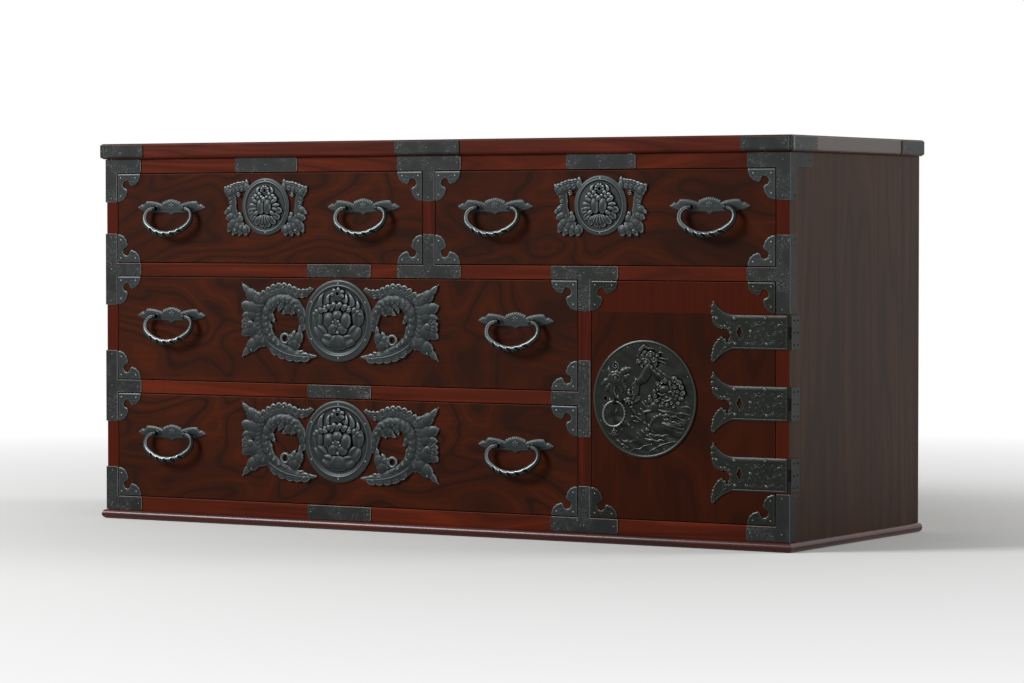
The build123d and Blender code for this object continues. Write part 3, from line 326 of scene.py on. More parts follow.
def nail_heads(bm, places, radius, height, metal, wear_and_highlight=0.6):
    """Domed nail heads at some x and z, on metal that stands so many millimetres proud of the wood."""
    wear_and_painted_light = light_and_wear_layer(bm)
    shape = Matrix.Diagonal((radius * MM, height * MM, radius * MM, 1))
    for x, z in places:
        where = Matrix.Translation(Vector((x, FRONT - metal, z)) * MM) @ shape
        head = bmesh.ops.create_uvsphere(bm, u_segments=12, v_segments=7, radius=1, matrix=where)
        # each head is painted paler by the given share: partly wear and partly a painted highlight on the
        # dome
        for vert in head["verts"]:
            vert[wear_and_painted_light] = wear_and_highlight


def tube(bm, points, across, radii, around, closed=False):
    """A round bar along points: across gives the two directions across it, radii its size at each place."""
    wear_and_painted_light = light_and_wear_layer(bm)
    count = len(points)
    lengths = count if closed else count - 1
    made = bmesh.ops.create_grid(bm, x_segments=around, y_segments=lengths, size=0.5)["verts"]
    share = spread(made)
    row = np.rint(share[:, 1] * lengths).astype(int) % count
    turn = share[:, 0] * math.tau
    radius, high_spot = radii(row, turn)
    inward, outward = across
    place = points[row] + radius[0][:, None] * inward[row] * np.cos(turn)[:, None]
    place += radius[1][:, None] * outward[row] * np.sin(turn)[:, None]
    for vert, spot, ridge in zip(made, place, high_spot):
        vert.co = Vector(spot) * MM
        vert[wear_and_painted_light] = ridge
    bmesh.ops.remove_doubles(bm, verts=made, dist=1e-6)
    if not closed:
        ends = {e for v in made if v.is_valid for e in v.link_edges if e.is_boundary}
        bmesh.ops.holes_fill(bm, edges=list(ends), sides=0)
    face_outwards(bm, made)


def turned(bm, profile, at, axis, steps=22):
    """A turned shape: profile pairs of distance along the axis and radius, spun round it."""
    along_axis = Vector(axis).to_track_quat("Z", "X").to_matrix().to_4x4()
    where = Matrix.Translation(Vector(at) * MM) @ along_axis
    before = set(bm.verts)
    verts = [bm.verts.new(where @ (Vector((radius, 0, along)) * MM)) for along, radius in profile]
    edges = [bm.edges.new(pair) for pair in zip(verts, verts[1:])]
    bmesh.ops.spin(
        bm, geom=verts + edges, cent=where.translation, axis=where.to_3x3() @ Vector((0, 0, 1)),
        angle=math.tau, steps=steps, use_merge=True,
    )
    bmesh.ops.remove_doubles(bm, verts=[v for v in bm.verts if v not in before], dist=2e-6)
    face_outwards(bm, [v for v in bm.verts if v not in before])


def finish_piece(bm, name, body, material, replaced):
    """Turns a mesh into a piece that rides on a body and stands for a CAD node."""
    mesh = bpy.data.meshes.new(name)
    bm.to_mesh(mesh)
    bm.free()
    mesh.shade_smooth()
    mesh.set_sharp_from_angle(angle=math.radians(38))  # rims and cut ends stay crisp
    mesh.materials.append(material)
    piece = bpy.data.objects.new(name, mesh)
    bpy.context.scene.collection.objects.link(piece)
    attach(piece, body)
    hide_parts(replaced)


# ---------------------------------------------------------------- drawings of the mounts
def corner_leaf(sheet):
    """The pierced corner leaf of a drawer, its corner at the origin, with a beaded edge and a cut vine."""
    size = 43
    lobe, neck = (0.69 * size, 0.41 * size), (0.53 * size, 0.34 * size)
    outer = through((size, 0), (0.92 * size, 0.26 * size), lobe)
    hook = through(lobe, (0.6 * size, 0.42 * size), neck)
    notch = through(neck, (0.27 * size, 0.27 * size), neck[::-1])
    mirrored = [hook[::-1, ::-1][1:], outer[::-1, ::-1][1:]]
    sheet.fill(np.vstack([[(0, 0)], outer, hook[1:], notch[1:], *mirrored]))
    angle = np.arctan2(sheet.v, sheet.u)
    from_edges = np.minimum(sheet.u, sheet.v)
    sheet.reach += np.where(from_edges > 3, 0.55 * (np.abs(np.sin(18 * angle)) - 0.6), 0)
    sheet.rise = 0.5 * np.clip(sheet.reach / 1.2, 0, 1)
    for flip in (1, -1):
        for points in (
            bend((13, 5), (22, 13), (31, 10)),
            bend((20, 9), (24, 5), (30, 4.5)),
            arc((33, 8), (3.4, 1), 200, -120),
            bend((9, 12), (13, 8), (19, 6)),
        ):
            sheet.groove(np.asarray(points)[:, ::flip], 0.45, 0.22)
    return sheet


def dished(sheet, radius, rim):
    """A round plate with a raised rim round a dished field."""
    from_middle = np.hypot(sheet.u, sheet.v)
    inner = radius - rim
    sheet.reach = radius - from_middle
    edge = np.clip((radius - from_middle) / 2.5, 0, 1) ** 0.5
    slope = np.clip((from_middle - inner) / (0.35 * rim), 0, 1)
    sheet.rise = 0.5 + 1.3 * edge * slope**0.6 + 1.0 * np.clip(1 - (from_middle / inner) ** 2, 0, 1)
    sheet.rise += 0.6 * np.exp(-(((from_middle - inner - 0.3 * rim) / 1.1) ** 2))
    return sheet


def big_rosette(sheet):
    """The large lock plate's middle: an open peony with a globe-shaped heart under the key hole."""
    dished(sheet, 62, 13)
    for at, length, width, turn in (
        ((-37, 3), 15, 10, 96), ((36, 5), 15, 11, 84), ((-31, -17), 15, 11, -48), ((29, -18), 15, 12, -128),
        ((-17, -29), 14, 11, -20), ((19, -29), 14, 11, 200), ((1, -32), 13, 19, -90),
    ):
        sheet.petal(at, length, width, turn, 4.4, 1.2, ribs=1)
    sheet.fan((0, 7), (41, 13.5), np.linspace(10.8, 169.2, 11), 5.6, 4.4, 2.8, 2.6)
    sheet.fan((0, 9), (25, 15.5), np.linspace(28.8, 151.2, 6), 4.6, 3.8, 2.6, 4.2)
    for base, lean, tip, half in (
        ((-31, 17), (-36, 32), (-25, 43), 6.5), ((-17, 22), (-22, 34), (-13, 42), 5),
        ((24, 19), (31, 32), (18, 43), 6.5), ((33, 15), (41, 24), (33, 32), 5),
        ((13, 24), (20, 33), (13, 42), 4),
    ):
        sheet.leaf(base, lean, tip, half, 3.6, 0, 1.2)
    for at, length, width, turn in (
        ((-13, 1), 12, 10, 110), ((16, 0), 13, 9.5, 80), ((1, 7), 9.5, 9, 90), ((-5, -11), 11, 9.5, 20),
        ((10, -12), 10, 8, -20), ((2, -3), 7, 7, 0),
    ):
        sheet.petal(at, length, width, turn, 6.4, 3.4)
    sheet.beads([(-4, -2), (0, 1), (5, -1), (8, -6), (2, -8), (-3, -14), (4, -17)], 2.7, 1.6, 8.2)
    sheet.petal((0, 39), 9.5, 10, 90, 2.2, 1.6)
    sheet.fan((0, 40), (8.5, 6.5), range(-20, 230, 50), 4.6, 3.4, 2.2, 2.4)
    sheet.hole((0, 41), 3, 3)
    return sheet


def small_rosette(sheet):
    """The small lock plate's middle: two bulb petals inside a ring of ribbed ones, under the key hole."""
    dished(sheet, 43.5, 8.5)
    sheet.fan((0, -1), (25, 24), range(-165, 0, 22), 7.5, 5.6, 3.2, 2.0, ribs=1)
    buds = np.array([(5, 14), (11, 13), (16, 16), (20, 12), (9, 19)])
    for side in (-1, 1):
        for v, lean in ((8, 150), (2, 172), (-4, 190), (-10, 208)):
            turn = lean if side < 0 else 180 - lean
            sheet.petal((side * (21 - 0.06 * v * v), v), 7, 3.6, turn, 3.4, 2.8)
        sheet.petal((side * 6.5, 0), 12, 7, 90 - side * 6, 4.8, 3.6)
        sheet.beads(buds * [side, 1], 3.4, 2.4, 3.4)
        sheet.leaf((side * 12, 20), (side * 17, 26), (side * 8, 31), 3.6, 2.6, 0, 1.6)
    sheet.petal((0, -20), 8, 14.5, -90, 3.6, 3.0, ribs=4)
    sheet.leaf((0, -24), (0, -29), (0, -34), 4, 2.4, 0, 1.2)
    sheet.petal((0, 10), 5, 5, 0, 2.6, 4.6)
    sheet.groove([(0, 10), (0, -11)], 0.7, 2.0)
    sheet.petal((0, 24), 7, 7, 90, 1.8, 1.8)
    sheet.fan((0, 24), (6.2, 6.2), range(-10, 220, 40), 2.4, 2.4, 1.8, 2.2)
    sheet.hole((0, 24.5), 2.9, 2.9)
    return sheet


def big_wing(sheet):
    """The right wing of a large lock plate: leaves round a ribbed scroll, pierced in the middle."""
    arch = [(48, 47), (60, 41), (74, 40), (88, 43), (103, 45), (117, 42), (131, 36), (145, 26)]
    sheet.stem(arch, (2.5, 6, 7, 8, 8, 8, 8, 8), 2.2, 0.8, vein=0.5)
    for u, v, size in (
        (51, 48, 3), (56, 45, 4), (63, 44, 4.6), (71, 44, 4.8), (80, 47, 5), (89, 50, 5.2),
        (99, 52, 5.4), (109, 52, 5.4), (119, 50, 5.2), (128, 46, 5), (137, 41, 4.6), (66, 37, 4),
        (76, 38, 4.6), (86, 41, 4.6), (97, 43, 4.8), (108, 43, 4.8), (119, 41, 4.6), (129, 37, 4.6),
    ):
        sheet.petal((u, v), size, 0.92 * size, 3 * u, 1.3, 2.0, ribs=0.8, outline=True)
    scroll = [
        (64, -12), (65, 0), (69, 14), (78, 25), (92, 31), (108, 31), (122, 24), (131, 12), (134, -2),
        (131, -16), (123, -28), (111, -37), (96, -43),
    ]
    sheet.stem(scroll, (4, 7, 8, 8.5, 9, 9, 9.5, 9.5, 9, 9, 8, 7, 6), 4.0, 1.2, ribs=0.1, pitch=10)
    for points in (bend((70, 14), (92, 42), (128, 16), 8), bend((131, 2), (134, -22), (108, -38), 6)):
        sheet.beads(points, 2.2, 0.6, 4.6)
    for base, lean, tip, half in (
        ((84, 26), (90, 16), (104, 9), 8), ((80, 22), (80, 12), (88, 8), 5),
        ((100, 26), (108, 20), (109, 12), 5), ((134, 12), (124, 6), (116, -4), 7),
        ((134, -4), (126, -10), (121, -20), 6), ((84, -42), (68, -30), (69, -2), 8),
        ((82, -40), (88, -28), (78, -14), 7), ((84, -38), (92, -32), (88, -20), 4.5),
    ):
        sheet.leaf(base, lean, tip, half, 3.0, 3, 1.6)
    sheet.stem(bend((134, -27), (104, -58), (42, -54), 18), (8, 10.5, 12, 11, 8, 2), 3.2, 1.0)
    for u, v, turn in ((116, -46, 215), (103, -52, 205), (89, -55, 195), (75, -56, 188), (61, -56, 182)):
        sheet.petal((u, v), 9.5, 7.4, turn, 1.3, 3.0, ribs=0.9, outline=True)
    for u, v in ((106, -40), (94, -45), (81, -47), (68, -49)):
        sheet.petal((u, v), 6, 3.6, 160, 1.4, 2.4, ribs=0.8, outline=True)
    sheet.groove(bend((126, -34), (98, -56), (50, -54), 16), 0.6, 0.6)
    sheet.stem(bend((142, 30), (156, -2), (138, -34), 14), (8, 8, 8), 3.2, 1.4, ribs=0.12, pitch=7)
    for base, lean, tip, half, teeth in (
        ((140, 26), (160, 34), (179, 57), 10.5, 3), ((144, 14), (164, 18), (180, 25), 12.5, 2),
        ((148, 6), (164, 10), (179, 5), 8.5, 2), ((146, -14), (166, -15), (179, -24), 11, 2),
        ((138, -26), (158, -36), (179, -58), 11, 3), ((140, 34), (150, 40), (158, 44), 5, 2),
    ):
        sheet.leaf(base, lean, tip, half, 3.6, teeth, 1.2)
    sheet.fan((161, -7), (10, 10), range(-75, 90, 30), 8, 5.2, 2.4, 1.8, ribs=1, outline=True)
    sheet.petal((161, -7), 6, 6, 0, 2.0, 3.4, outline=True)
    for at, start in (((149, 32), 30), ((149, -32), -30)):
        sheet.curl(at, 5.5, start, 0.8, lift=3.4)
    sheet.stem(arc((97.5, -28), (7, 7), 0, 360, 24), (2.4, 2.4), 2.4, 1.4)
    sheet.beyond(61)
    return sheet


def small_wing(sheet):
    """The right wing of a small lock plate: toothed leaves and a column of buds round a hole."""
    sheet.stem(bend((36, 30), (52, 32), (66, 22), 12), (6, 9, 8), 2.2, 0.8)
    sheet.stem(bend((65, 22), (59, 4), (60, -14), 12), (8, 6.5, 8), 2.4, 0.8)
    sheet.stem(bend((62, -12), (58, -28), (36, -35), 14), (7, 10, 7), 2.6, 0.8)
    for base, lean, tip, half, teeth in (
        ((36, 26), (34, 34), (35.5, 43), 4.5, 2), ((64, 18), (70, 24), (77, 31), 7, 3),
        ((63, -4), (71, -6), (77, -12), 5, 2), ((60, -14), (68, -16), (74, -19), 6, 3),
        ((56, -22), (66, -30), (70, -40), 7.5, 3), ((50, -26), (58, -36), (62, -45), 6.5, 3),
        ((44, -30), (48, -38), (49, -45), 6, 3), ((38, -32), (38, -40), (36, -44), 5.5, 2),
        ((47, -24), (46, -14), (50, -6), 4.5, 2),
    ):
        sheet.leaf(base, lean, tip, half, 2.8, teeth, 1.2)
    for u, v, size in (
        (41, 36, 3.6), (46, 35, 3.8), (51, 34.5, 4), (57, 33, 4), (63, 31, 4), (69, 29, 3.6), (44, 28, 4.4),
        (52, 27, 4.6), (60, 25, 4.6), (66, 20, 4.2), (65, 13, 3.8), (63.5, 6, 3.6), (64, -1, 3.6),
        (58, -16, 4.4), (52, -24, 4.6), (60, -24, 4), (44, -33, 4),
    ):
        sheet.petal((u, v), size, 0.9 * size, 5 * v, 1.4, 2.2, ribs=0.8, outline=True)
    sheet.curl((50, 18), 3.8, 60, 1.4, lift=2.4, outline=True)
    sheet.hole((49.5, 2), 5.4, 11.5)
    sheet.hole((39, -27), 1.8, 2.4)
    sheet.beyond(42.5)
    return sheet


def handle_plate(sheet):
    """A drawer handle's back plate, tips level with the bail's pivots, with a scalloped crest."""
    half = 65.0
    tip, dip, foot = (half, 1.3), (0.8 * half, -4.4), (0, -10.5)
    right = [*through(tip, (0.93 * half, 4.5), (0.86 * half, 6.5), 5), (0.82 * half, 5.6)]
    right += [*bend((0.74 * half, 10.8), (0.52 * half, 12), (0.28 * half, 6.5), 8)]
    for n in range(5):
        crest = arc((15.5 - 3.4 * n, 7.6 + 1.5 * n - 0.12 * n * n), (2.3, 2.3), 30, 130, 5)
        right += [p for p in crest if p[0] > 0]
    lower = [(0.1 * half, -7.5), (0.5 * half, -6), dip, *through(dip, (0.9 * half, -2.6), tip, 5)[1:-1]]
    side = np.array([*lower, *right, (0, 14.4)])
    sheet.fill(np.vstack([side, (side * [-1, 1])[::-1], [foot]]))
    sheet.rise = 1.1 * np.clip(sheet.reach / 2.4, 0, 1)
    sheet.rise -= 0.18 * np.exp(-(((sheet.reach - 3.2) / 0.5) ** 2))
    sheet.fan((0, 2.4), (3.1, 3.1), range(90, 450, 60), 2.6, 1.9, 0.6, 1.0)
    sheet.beads([(0, 2.4)], 1.5, 0.6, 1.2)
    for side in (-1, 1):
        sheet.groove([(side * x, y) for x, y in bend((7, 1), (13, 6), (20, 1))], 0.45, 0.15)
    return sheet


def strap(sheet):
    """A forked hinge strap about its level, u measured from the chest's side, with a cut vine."""
    def fork(along, up):
        return (-123 + 30 * along, 45 * up)

    shoulder = fork(1.15, 0)[0]
    arcs = (
        ((shoulder, 24), fork(0.65, 0.63), fork(0.08, 0.99)),
        (fork(0.08, 0.99), fork(0, 0.73), fork(0.065, 0.44)),
        (fork(0.065, 0.44), fork(0.22, 0.235), fork(0.48, 0.155)),
        (fork(0.48, 0.155), fork(0.82, 0.125), fork(1, -0.045)),
        (fork(1, -0.045), fork(0.91, -0.245), fork(0.74, -0.4)),
        (fork(0.74, -0.4), fork(0.63, -0.29), fork(0.48, -0.22)),
        (fork(0.48, -0.22), fork(0.19, -0.42), fork(0.065, -0.71)),
        (fork(0.065, -0.71), fork(0.02, -0.87), fork(0.08, -0.99)),
        (fork(0.08, -0.99), fork(0.65, -0.67), (shoulder, -24)),
    )
    outline = [through(*points, 10)[:-1] for points in arcs]
    sheet.fill(np.vstack([[(-2.6, 24)], *outline, [(shoulder, -24), (-2.6, -24)]]))
    sheet.rise = 0.8 * np.clip(sheet.reach / 1.8, 0, 1)
    edge = [through(*arcs[n], count) for n, count in ((1, 4), (2, 5), (3, 4), (5, 3), (6, 6), (7, 4))]
    sheet.beads(np.vstack(edge)[1:-1] * [1, 0.97] + [1.6, 0], 3.0, 0.4, 0.9, outline=True)
    sheet.hole((-78, 0), 4.5, 4.2)
    for side in (-1, 1):
        sheet.hole((-78, side * 5.2), 2.2, 2.2)
    sheet.rise -= 0.35 * np.exp(-(((sheet.reach - 2.8) / 0.45) ** 2))
    for middle, turn in (((-50, 6), 0), ((-32, -7), 180), ((-14, 6), 0), ((-62, -8), 160)):
        sheet.groove(arc(middle, (8.5, 1.5), turn, turn + 430, 26), 0.5, 0.5)
        for lobe in range(5):
            a = math.radians(turn + 72 * lobe)
            at = (middle[0] + 9.5 * math.cos(a), middle[1] + 8 * math.sin(a))
            sheet.groove(arc(at, (2.4, 1), turn + 72 * lobe, turn + 72 * lobe + 300, 10), 0.42, 0.45)
    for v in (13.5, -14.5):
        wave = [(-70 + 2 * n, v + 1.8 * math.sin(0.9 * n)) for n in range(34)]
        sheet.groove(wave, 0.45, 0.35)
    for side in (-1, 1):
        sheet.groove(bend((-88, side * 12), (-104, side * 18), (-117, side * 38)), 0.5, 0.4)
        sheet.groove(arc((-98, side * 11), (5, 1), -60 * side, side * 300, 18), 0.45, 0.4)
    return sheet


def medallion(sheet):
    """A guardian lion with curled mane and its cub beside a peony, over rocks and waves, in soft relief."""
    from_middle = np.hypot(sheet.u, sheet.v)
    sheet.crown = 0.85
    sheet.reach = 84.5 - from_middle
    sheet.rise = 0.3 + 0.7 * np.exp(-(((from_middle - 82.6) / 1.3) ** 2))
    # low ground: the lion's back, rocks running down to the right, and the bank at the foot
    sheet.petal((36, 34), 34, 13, -28, 2.6, 0.2)
    sheet.petal((44, -4), 34, 22, -12, 2.2, 0.2)
    sheet.petal((18, -30), 26, 13, -55, 2.4, 0.2)
    sheet.petal((42, -40), 24, 12, -25, 1.8, 0.2)
    sheet.petal((-28, -46), 34, 14, -30, 1.4, 0.2)
    ridges = (
        ((24, -9), (52, -8), (78, -11)), ((20, -15), (48, -19), (76, -20)),
        ((26, -22), (44, -22), (62, -27)), ((32, -28), (46, -31), (58, -34)),
        ((24, -33), (44, -38), (66, -42)), ((34, -41), (48, -43), (62, -48)),
        ((8, -50), (24, -54), (40, -50)), ((0, -57), (18, -60), (34, -58)),
        ((-36, -60), (-24, -64), (-10, -58)), ((-46, -58), (-40, -66), (-26, -70)),
        ((18, 44), (36, 42), (52, 34)), ((22, 39), (38, 36), (56, 28)),
    )
    for n, (start, lean, end) in enumerate(ridges):
        line = bend(start, lean, end, 16)
        line[:, 1] += 0.8 * np.sin(np.arange(16) * 1.1 + n)
        sheet.stem(line, (0.6, 2.6, 1.4, 2.0, 0.5), 0.9, 0.9 if n > 7 else 1.4)
    for corners in (
        [(-23, -76), (-15, -71), (-8, -72), (0, -67), (12, -64)],
        [(7, -76), (16, -71), (26, -66), (37, -62), (52, -59)],
        [(-60, -48), (-52, -55), (-44, -58)],
    ):
        sheet.stem(corners, (0.7, 1.4, 0.9), 1.6, 0.4)
    for n in range(44):
        # weathered ground: short soft ridges that lean down to the right
        u, v = -14 + 11.3 * (n % 8) + 5 * math.sin(2.1 * n), -6 - 9.4 * (n // 8) + 3 * math.cos(3.7 * n)
        length = 5 + 2.5 * math.sin(1.7 * n)
        if math.hypot(u, v) < 72:
            sheet.petal((u, v), length, 1.9, -28 + 22 * math.sin(5.3 * n), 0.8, 0.9)
    for n, (u, v) in enumerate(((19, -26), (15, -30), (12, -34), (9, -38), (6, -43), (23, -24), (27, -22))):
        sheet.petal((u, v), 3.8, 3.2, 40 * n, 1.6, 1.6)
    # the lion: chest and shoulder, foreleg, paws, hind leg
    sheet.stem([(8, 46), (3, 38), (-2, 31), (-9, 25)], (9, 9.5, 9, 6), 5.4, 0.6)
    sheet.stem([(12, 44), (24, 40), (40, 30), (52, 20)], (8, 10, 11, 9), 2.8, 0.8)
    for n in range(14):
        # locks of fur that fall over the back
        u, v = 11 + 3.3 * n, 50 - 1.9 * n - 6 * (n % 2)
        line = bend((u, v), (u + 7, v - 2), (u + 9, v - 9), 8)
        sheet.stem(line, (0.6, 2.4, 0.6), 1.5, 2.5 + 0.3 * math.sin(2.3 * n))
    sheet.stem([(-11, 27), (-13, 16), (-14, 7), (-17, 0)], (6, 5.4, 4.6, 4), 4.2, 0.8)
    for u, v in ((-13, 22), (-14, 15), (-14, 9)):
        sheet.curl((u - 2, v), 3.8, 200, 1.0, 1.2, lift=4.2)
    sheet.petal((-25, -2), 7.5, 5.4, 10, 3.2, 0.8, ribs=2)
    sheet.petal((-13, -1), 8.5, 4.6, 35, 3.0, 0.8, ribs=1)
    sheet.beads([(-31, -2), (-29, -5), (-24, -6.5), (-19, -6)], 2.7, 1.8, 1.4)
    sheet.leaf((-22, 3), (-27, 10), (-23, 16), 4, 2.8, 2, 0.8)
    sheet.petal((16, -11), 9, 8, 60, 3.4, 0.8)
    sheet.leaf((12, -6), (8, 2), (11, 8), 4.4, 3.0, 2, 1.2)
    sheet.stem([(16, -14), (9, -17), (2, -18)], (4, 3.4, 3.2), 2.8, 1.0)
    sheet.beads([(0, -19), (27, -10), (31, -9)], 2.8, 1.8, 1.4)
    # the head turned back over the shoulder: folded ear, brow and mane of tight curls
    sheet.stem([(-10, 62), (-6, 70), (0, 76), (6, 73), (16, 73)], (2.4, 4.2, 3.4, 2.2, 1), 2.8, 0.8, vein=0.5)
    sheet.petal((6, 57), 18, 13, 10, 3.6, 0.8)
    head = (
        (-0.7, 61, 5.6), (12.5, 64.5, 6.0), (6, 52, 7.6), (18.7, 57, 5.2), (-6.5, 54, 5.0),
        (20, 50.5, 3.8), (2, 67.5, 3.6), (23, 63.5, 3.4), (-2, 48, 3.4), (14, 47, 3.6),
    )
    flank = (
        (24, 23, 4.0), (31, 26, 3.6), (37, 27.5, 4.8), (44, 24, 3.8), (50.5, 29, 5.8), (58, 25, 4.8),
        (61.5, 18, 5.2), (64, 10, 4.4), (62, 3, 4.0), (56, 12, 4.2), (51, 19, 4.0), (19, 12, 3.8),
        (20, 5, 4.0), (23, -1, 3.6),
    )
    for n, (u, v, size) in enumerate(head + flank):
        sheet.petal((u, v), size, size, 0, 2.2, 3.0)
        sheet.curl((u, v), 0.78 * size, 53 * n, 1.1, 1.2, 1 if n % 2 else -1, lift=4.6)
    wisps = ([(22, 60), (30, 59), (41, 58)], [(24, 56), (31, 54), (37, 51)], [(22, 66), (28, 68), (33, 66)])
    for points in wisps:
        sheet.stem(points, (2.2, 1.8, 0.5), 1.8, 0.8)
    # its cub looks up from the flank: smooth skull between tight curls, brows, nose and cheeks
    sheet.petal((42, 7), 22, 17, -15, 3.0, 0.6)
    sheet.petal((34, 15), 9.5, 7.2, 10, 4.4, 2.2)
    sheet.stem([(25, 9), (31, 7), (38, 9)], (1.4, 2, 1), 1.8, 3.6)
    sheet.stem([(41, 11), (46, 12), (51, 9)], (1.4, 2, 1), 1.8, 3.4)
    sheet.petal((39, 4), 3.4, 2.4, 0, 2.0, 3.4)
    sheet.stem([(30, 1), (38, -2), (47, 2)], (1, 1.5, 1), 1.4, 3.2)
    chin = (
        (27, 2, 2.6), (32, -4, 3.2), (39, -7, 3.4), (46, -4, 3.4), (52, 1, 3.2), (55, 6, 3), (46, 17, 2.8),
        (28, 20, 2.8), (35, -1, 2.6), (44, 3, 2.8), (49, 7, 3), (57, -4, 3.4), (50, -9, 3.2), (44, 20, 2.6),
        (24, 14, 2.8), (52, 13, 2.6),
    )
    for n, (u, v, size) in enumerate(chin):
        sheet.petal((u, v), size, size, 0, 2.0, 2.4)
        sheet.curl((u, v), 0.75 * size, 80 * n, 1.0, 1.2, lift=3.8)
    # the peony, its leaves and its stem
    for base, lean, tip, half in (
        ((-54, 26), (-64, 26), (-72, 18), 5), ((-54, 22), (-60, 14), (-66, 10), 4.4),
        ((-38, 36), (-30, 42), (-20, 45), 5.4), ((-38, 28), (-30, 30), (-24, 36), 4.4),
        ((-50, 20), (-56, 10), (-50, 4), 4.6), ((-42, 20), (-36, 12), (-40, 4), 4.4),
        ((-54, 36), (-60, 40), (-58, 46), 4), ((-38, 22), (-30, 18), (-32, 10), 3.6),
    ):
        sheet.leaf(base, lean, tip, half, 1.6, 3, 0.7)
    for ring, count, size in ((10.5, 9, 5), (6, 6, 4.2), (0, 1, 3.4)):
        turns = [360 / count * n + 4 * ring for n in range(count)]
        sheet.fan((-46, 29), (ring, 0.75 * ring), turns, 0.8 * size, size, 1.5, 3.6 - 0.2 * ring, ribs=0.8)
    sheet.stem(bend((-44, 40), (-40, 50), (-47, 52), 10), (1.2, 1.4, 1.8), 1.6, 0.6)
    sheet.curl((-47, 47), 5, 120, 1.4, 0.9, lift=1.0)
    sheet.stem([(-48, 20), (-50, 10), (-46, 3)], (1.6, 1.6, 1.2), 1.4, 0.8)
    sheet.petal((-48, -51), 8, 6, 30, 2.4, 0.8, ribs=1.5)
    sheet.curl((-48, -50), 5, 30, 1.2, lift=2.6)
    # knobs of the ring pull's backing
    sheet.fan((-43, -22), (24, 24), [25 + 360 / 11 * n for n in range(11)], 3.4, 2.2, 1.8, 0.6)
    sheet.petal((-46, -18), 4, 2, 60, 1.6, 0.6)
    # beaten unevenly, most of all over the rocks at the lower right
    sway = np.sin(sheet.u / 6.5 + 1.6 * np.sin(sheet.v / 10)) * np.sin(sheet.v / 4.3 + sheet.u / 11)
    depth = 0.3 + 0.008 * np.clip(sheet.u - sheet.v, 0, 80)
    sheet.rise += depth * (0.4 + sway) * np.clip((80 - from_middle) / 6, 0, 1)
    sheet.rise = np.where(from_middle > 80, np.minimum(sheet.rise, 1.0), sheet.rise)
    sheet.hole((-64.5, 0), 3, 3)
    return sheet


# ---------------------------------------------------------------- materials
def linear(code):
    """A colour given as an sRGB hex code, as linear values."""
    parts = [int(code[i : i + 2], 16) / 255 for i in (1, 3, 5)]
    return (*(c / 12.92 if c <= 0.04045 else ((c + 0.055) / 1.055) ** 2.4 for c in parts), 1)


def connect(tree, made, inputs):
    """Fills a node's inputs with values or with other nodes' outputs."""
    for key, value in inputs.items():
        if isinstance(value, bpy.types.NodeSocket):
            tree.links.new(value, made.inputs[key])
        else:
            made.inputs[key].default_value = value


def node(tree, kind, inputs=None, **settings):
    """Adds a shader node with its settings, and fills its inputs."""
    made = tree.nodes.new(kind)
    for key, value in settings.items():
        setattr(made, key, value)
    connect(tree, made, inputs or {})
    return made


def ramp(tree, value, stops):
    """A colour ramp through pairs of place and colour."""
    made = node(tree, "ShaderNodeValToRGB", {"Fac": value})
    made.color_ramp.elements[0].position, made.color_ramp.elements[0].color = stops[0]
    made.color_ramp.elements[1].position, made.color_ramp.elements[1].color = stops[-1]
    for place, colour in stops[1:-1]:
        made.color_ramp.elements.new(place).color = colour
    return made.outputs["Color"]


def fade(tree, value, start, end, first=0.0, last=1.0):
    """A share that passes from first to last while a value passes from start to end."""
    return ramp(tree, value, [(start, (first, first, first, 1)), (end, (last, last, last, 1))])


def waves(tree, scale=1.0, shift=(0, 0, 0)):
    """Object coordinates in waves a metre, the same along all axes or one number for each."""
    values = {"Vector": node(tree, "ShaderNodeTexCoord").outputs["Object"]}
    values |= {"Scale": np.full(3, scale, float), "Location": shift}
    return node(tree, "ShaderNodeMapping", values).outputs["Vector"]


def noise(tree, place, detail=2.0, rough=0.5, warp=0.0):
    """Plain noise over a place."""
    values = {"Vector": place, "Scale": 1.0, "Detail": detail, "Roughness": rough, "Distortion": warp}
    return node(tree, "ShaderNodeTexNoise", values).outputs["Fac"]


def maths(tree, operation, a, b=0.0, c=0.0):
    """One sum of up to three values."""
    return node(tree, "ShaderNodeMath", {0: a, 1: b, 2: c}, operation=operation).outputs[0]


def mix(tree, share, a, b):
    """Two colours mixed by a share."""
    return node(tree, "ShaderNodeMix", {"Factor": share, 6: a, 7: b}, data_type="RGBA").outputs[2]


def distance(tree, axis, middle=0.0):
    """How many metres each point lies from a plane across an axis, whose place is in millimetres."""
    place = node(tree, "ShaderNodeSeparateXYZ", {0: waves(tree)}).outputs[axis]
    return maths(tree, "ABSOLUTE", maths(tree, "SUBTRACT", place, middle * MM))


def within(tree, axis, place, half):
    """1 where the distance from the object's middle is some millimetres, give or take half, and else 0."""
    return maths(tree, "COMPARE", distance(tree, axis), place * MM, half * MM)


def bumped(tree, height, depth, strength=1.0):
    """A normal from a height of 0 to 1 that stands for so many metres."""
    values = {"Height": height, "Distance": depth, "Strength": strength}
    return node(tree, "ShaderNodeBump", values).outputs["Normal"]


def surface(name):
    """A new material with its tree and its Principled shader."""
    material = bpy.data.materials.new(name)
    material.use_nodes = True
    return material, material.node_tree, material.node_tree.nodes["Principled BSDF"]


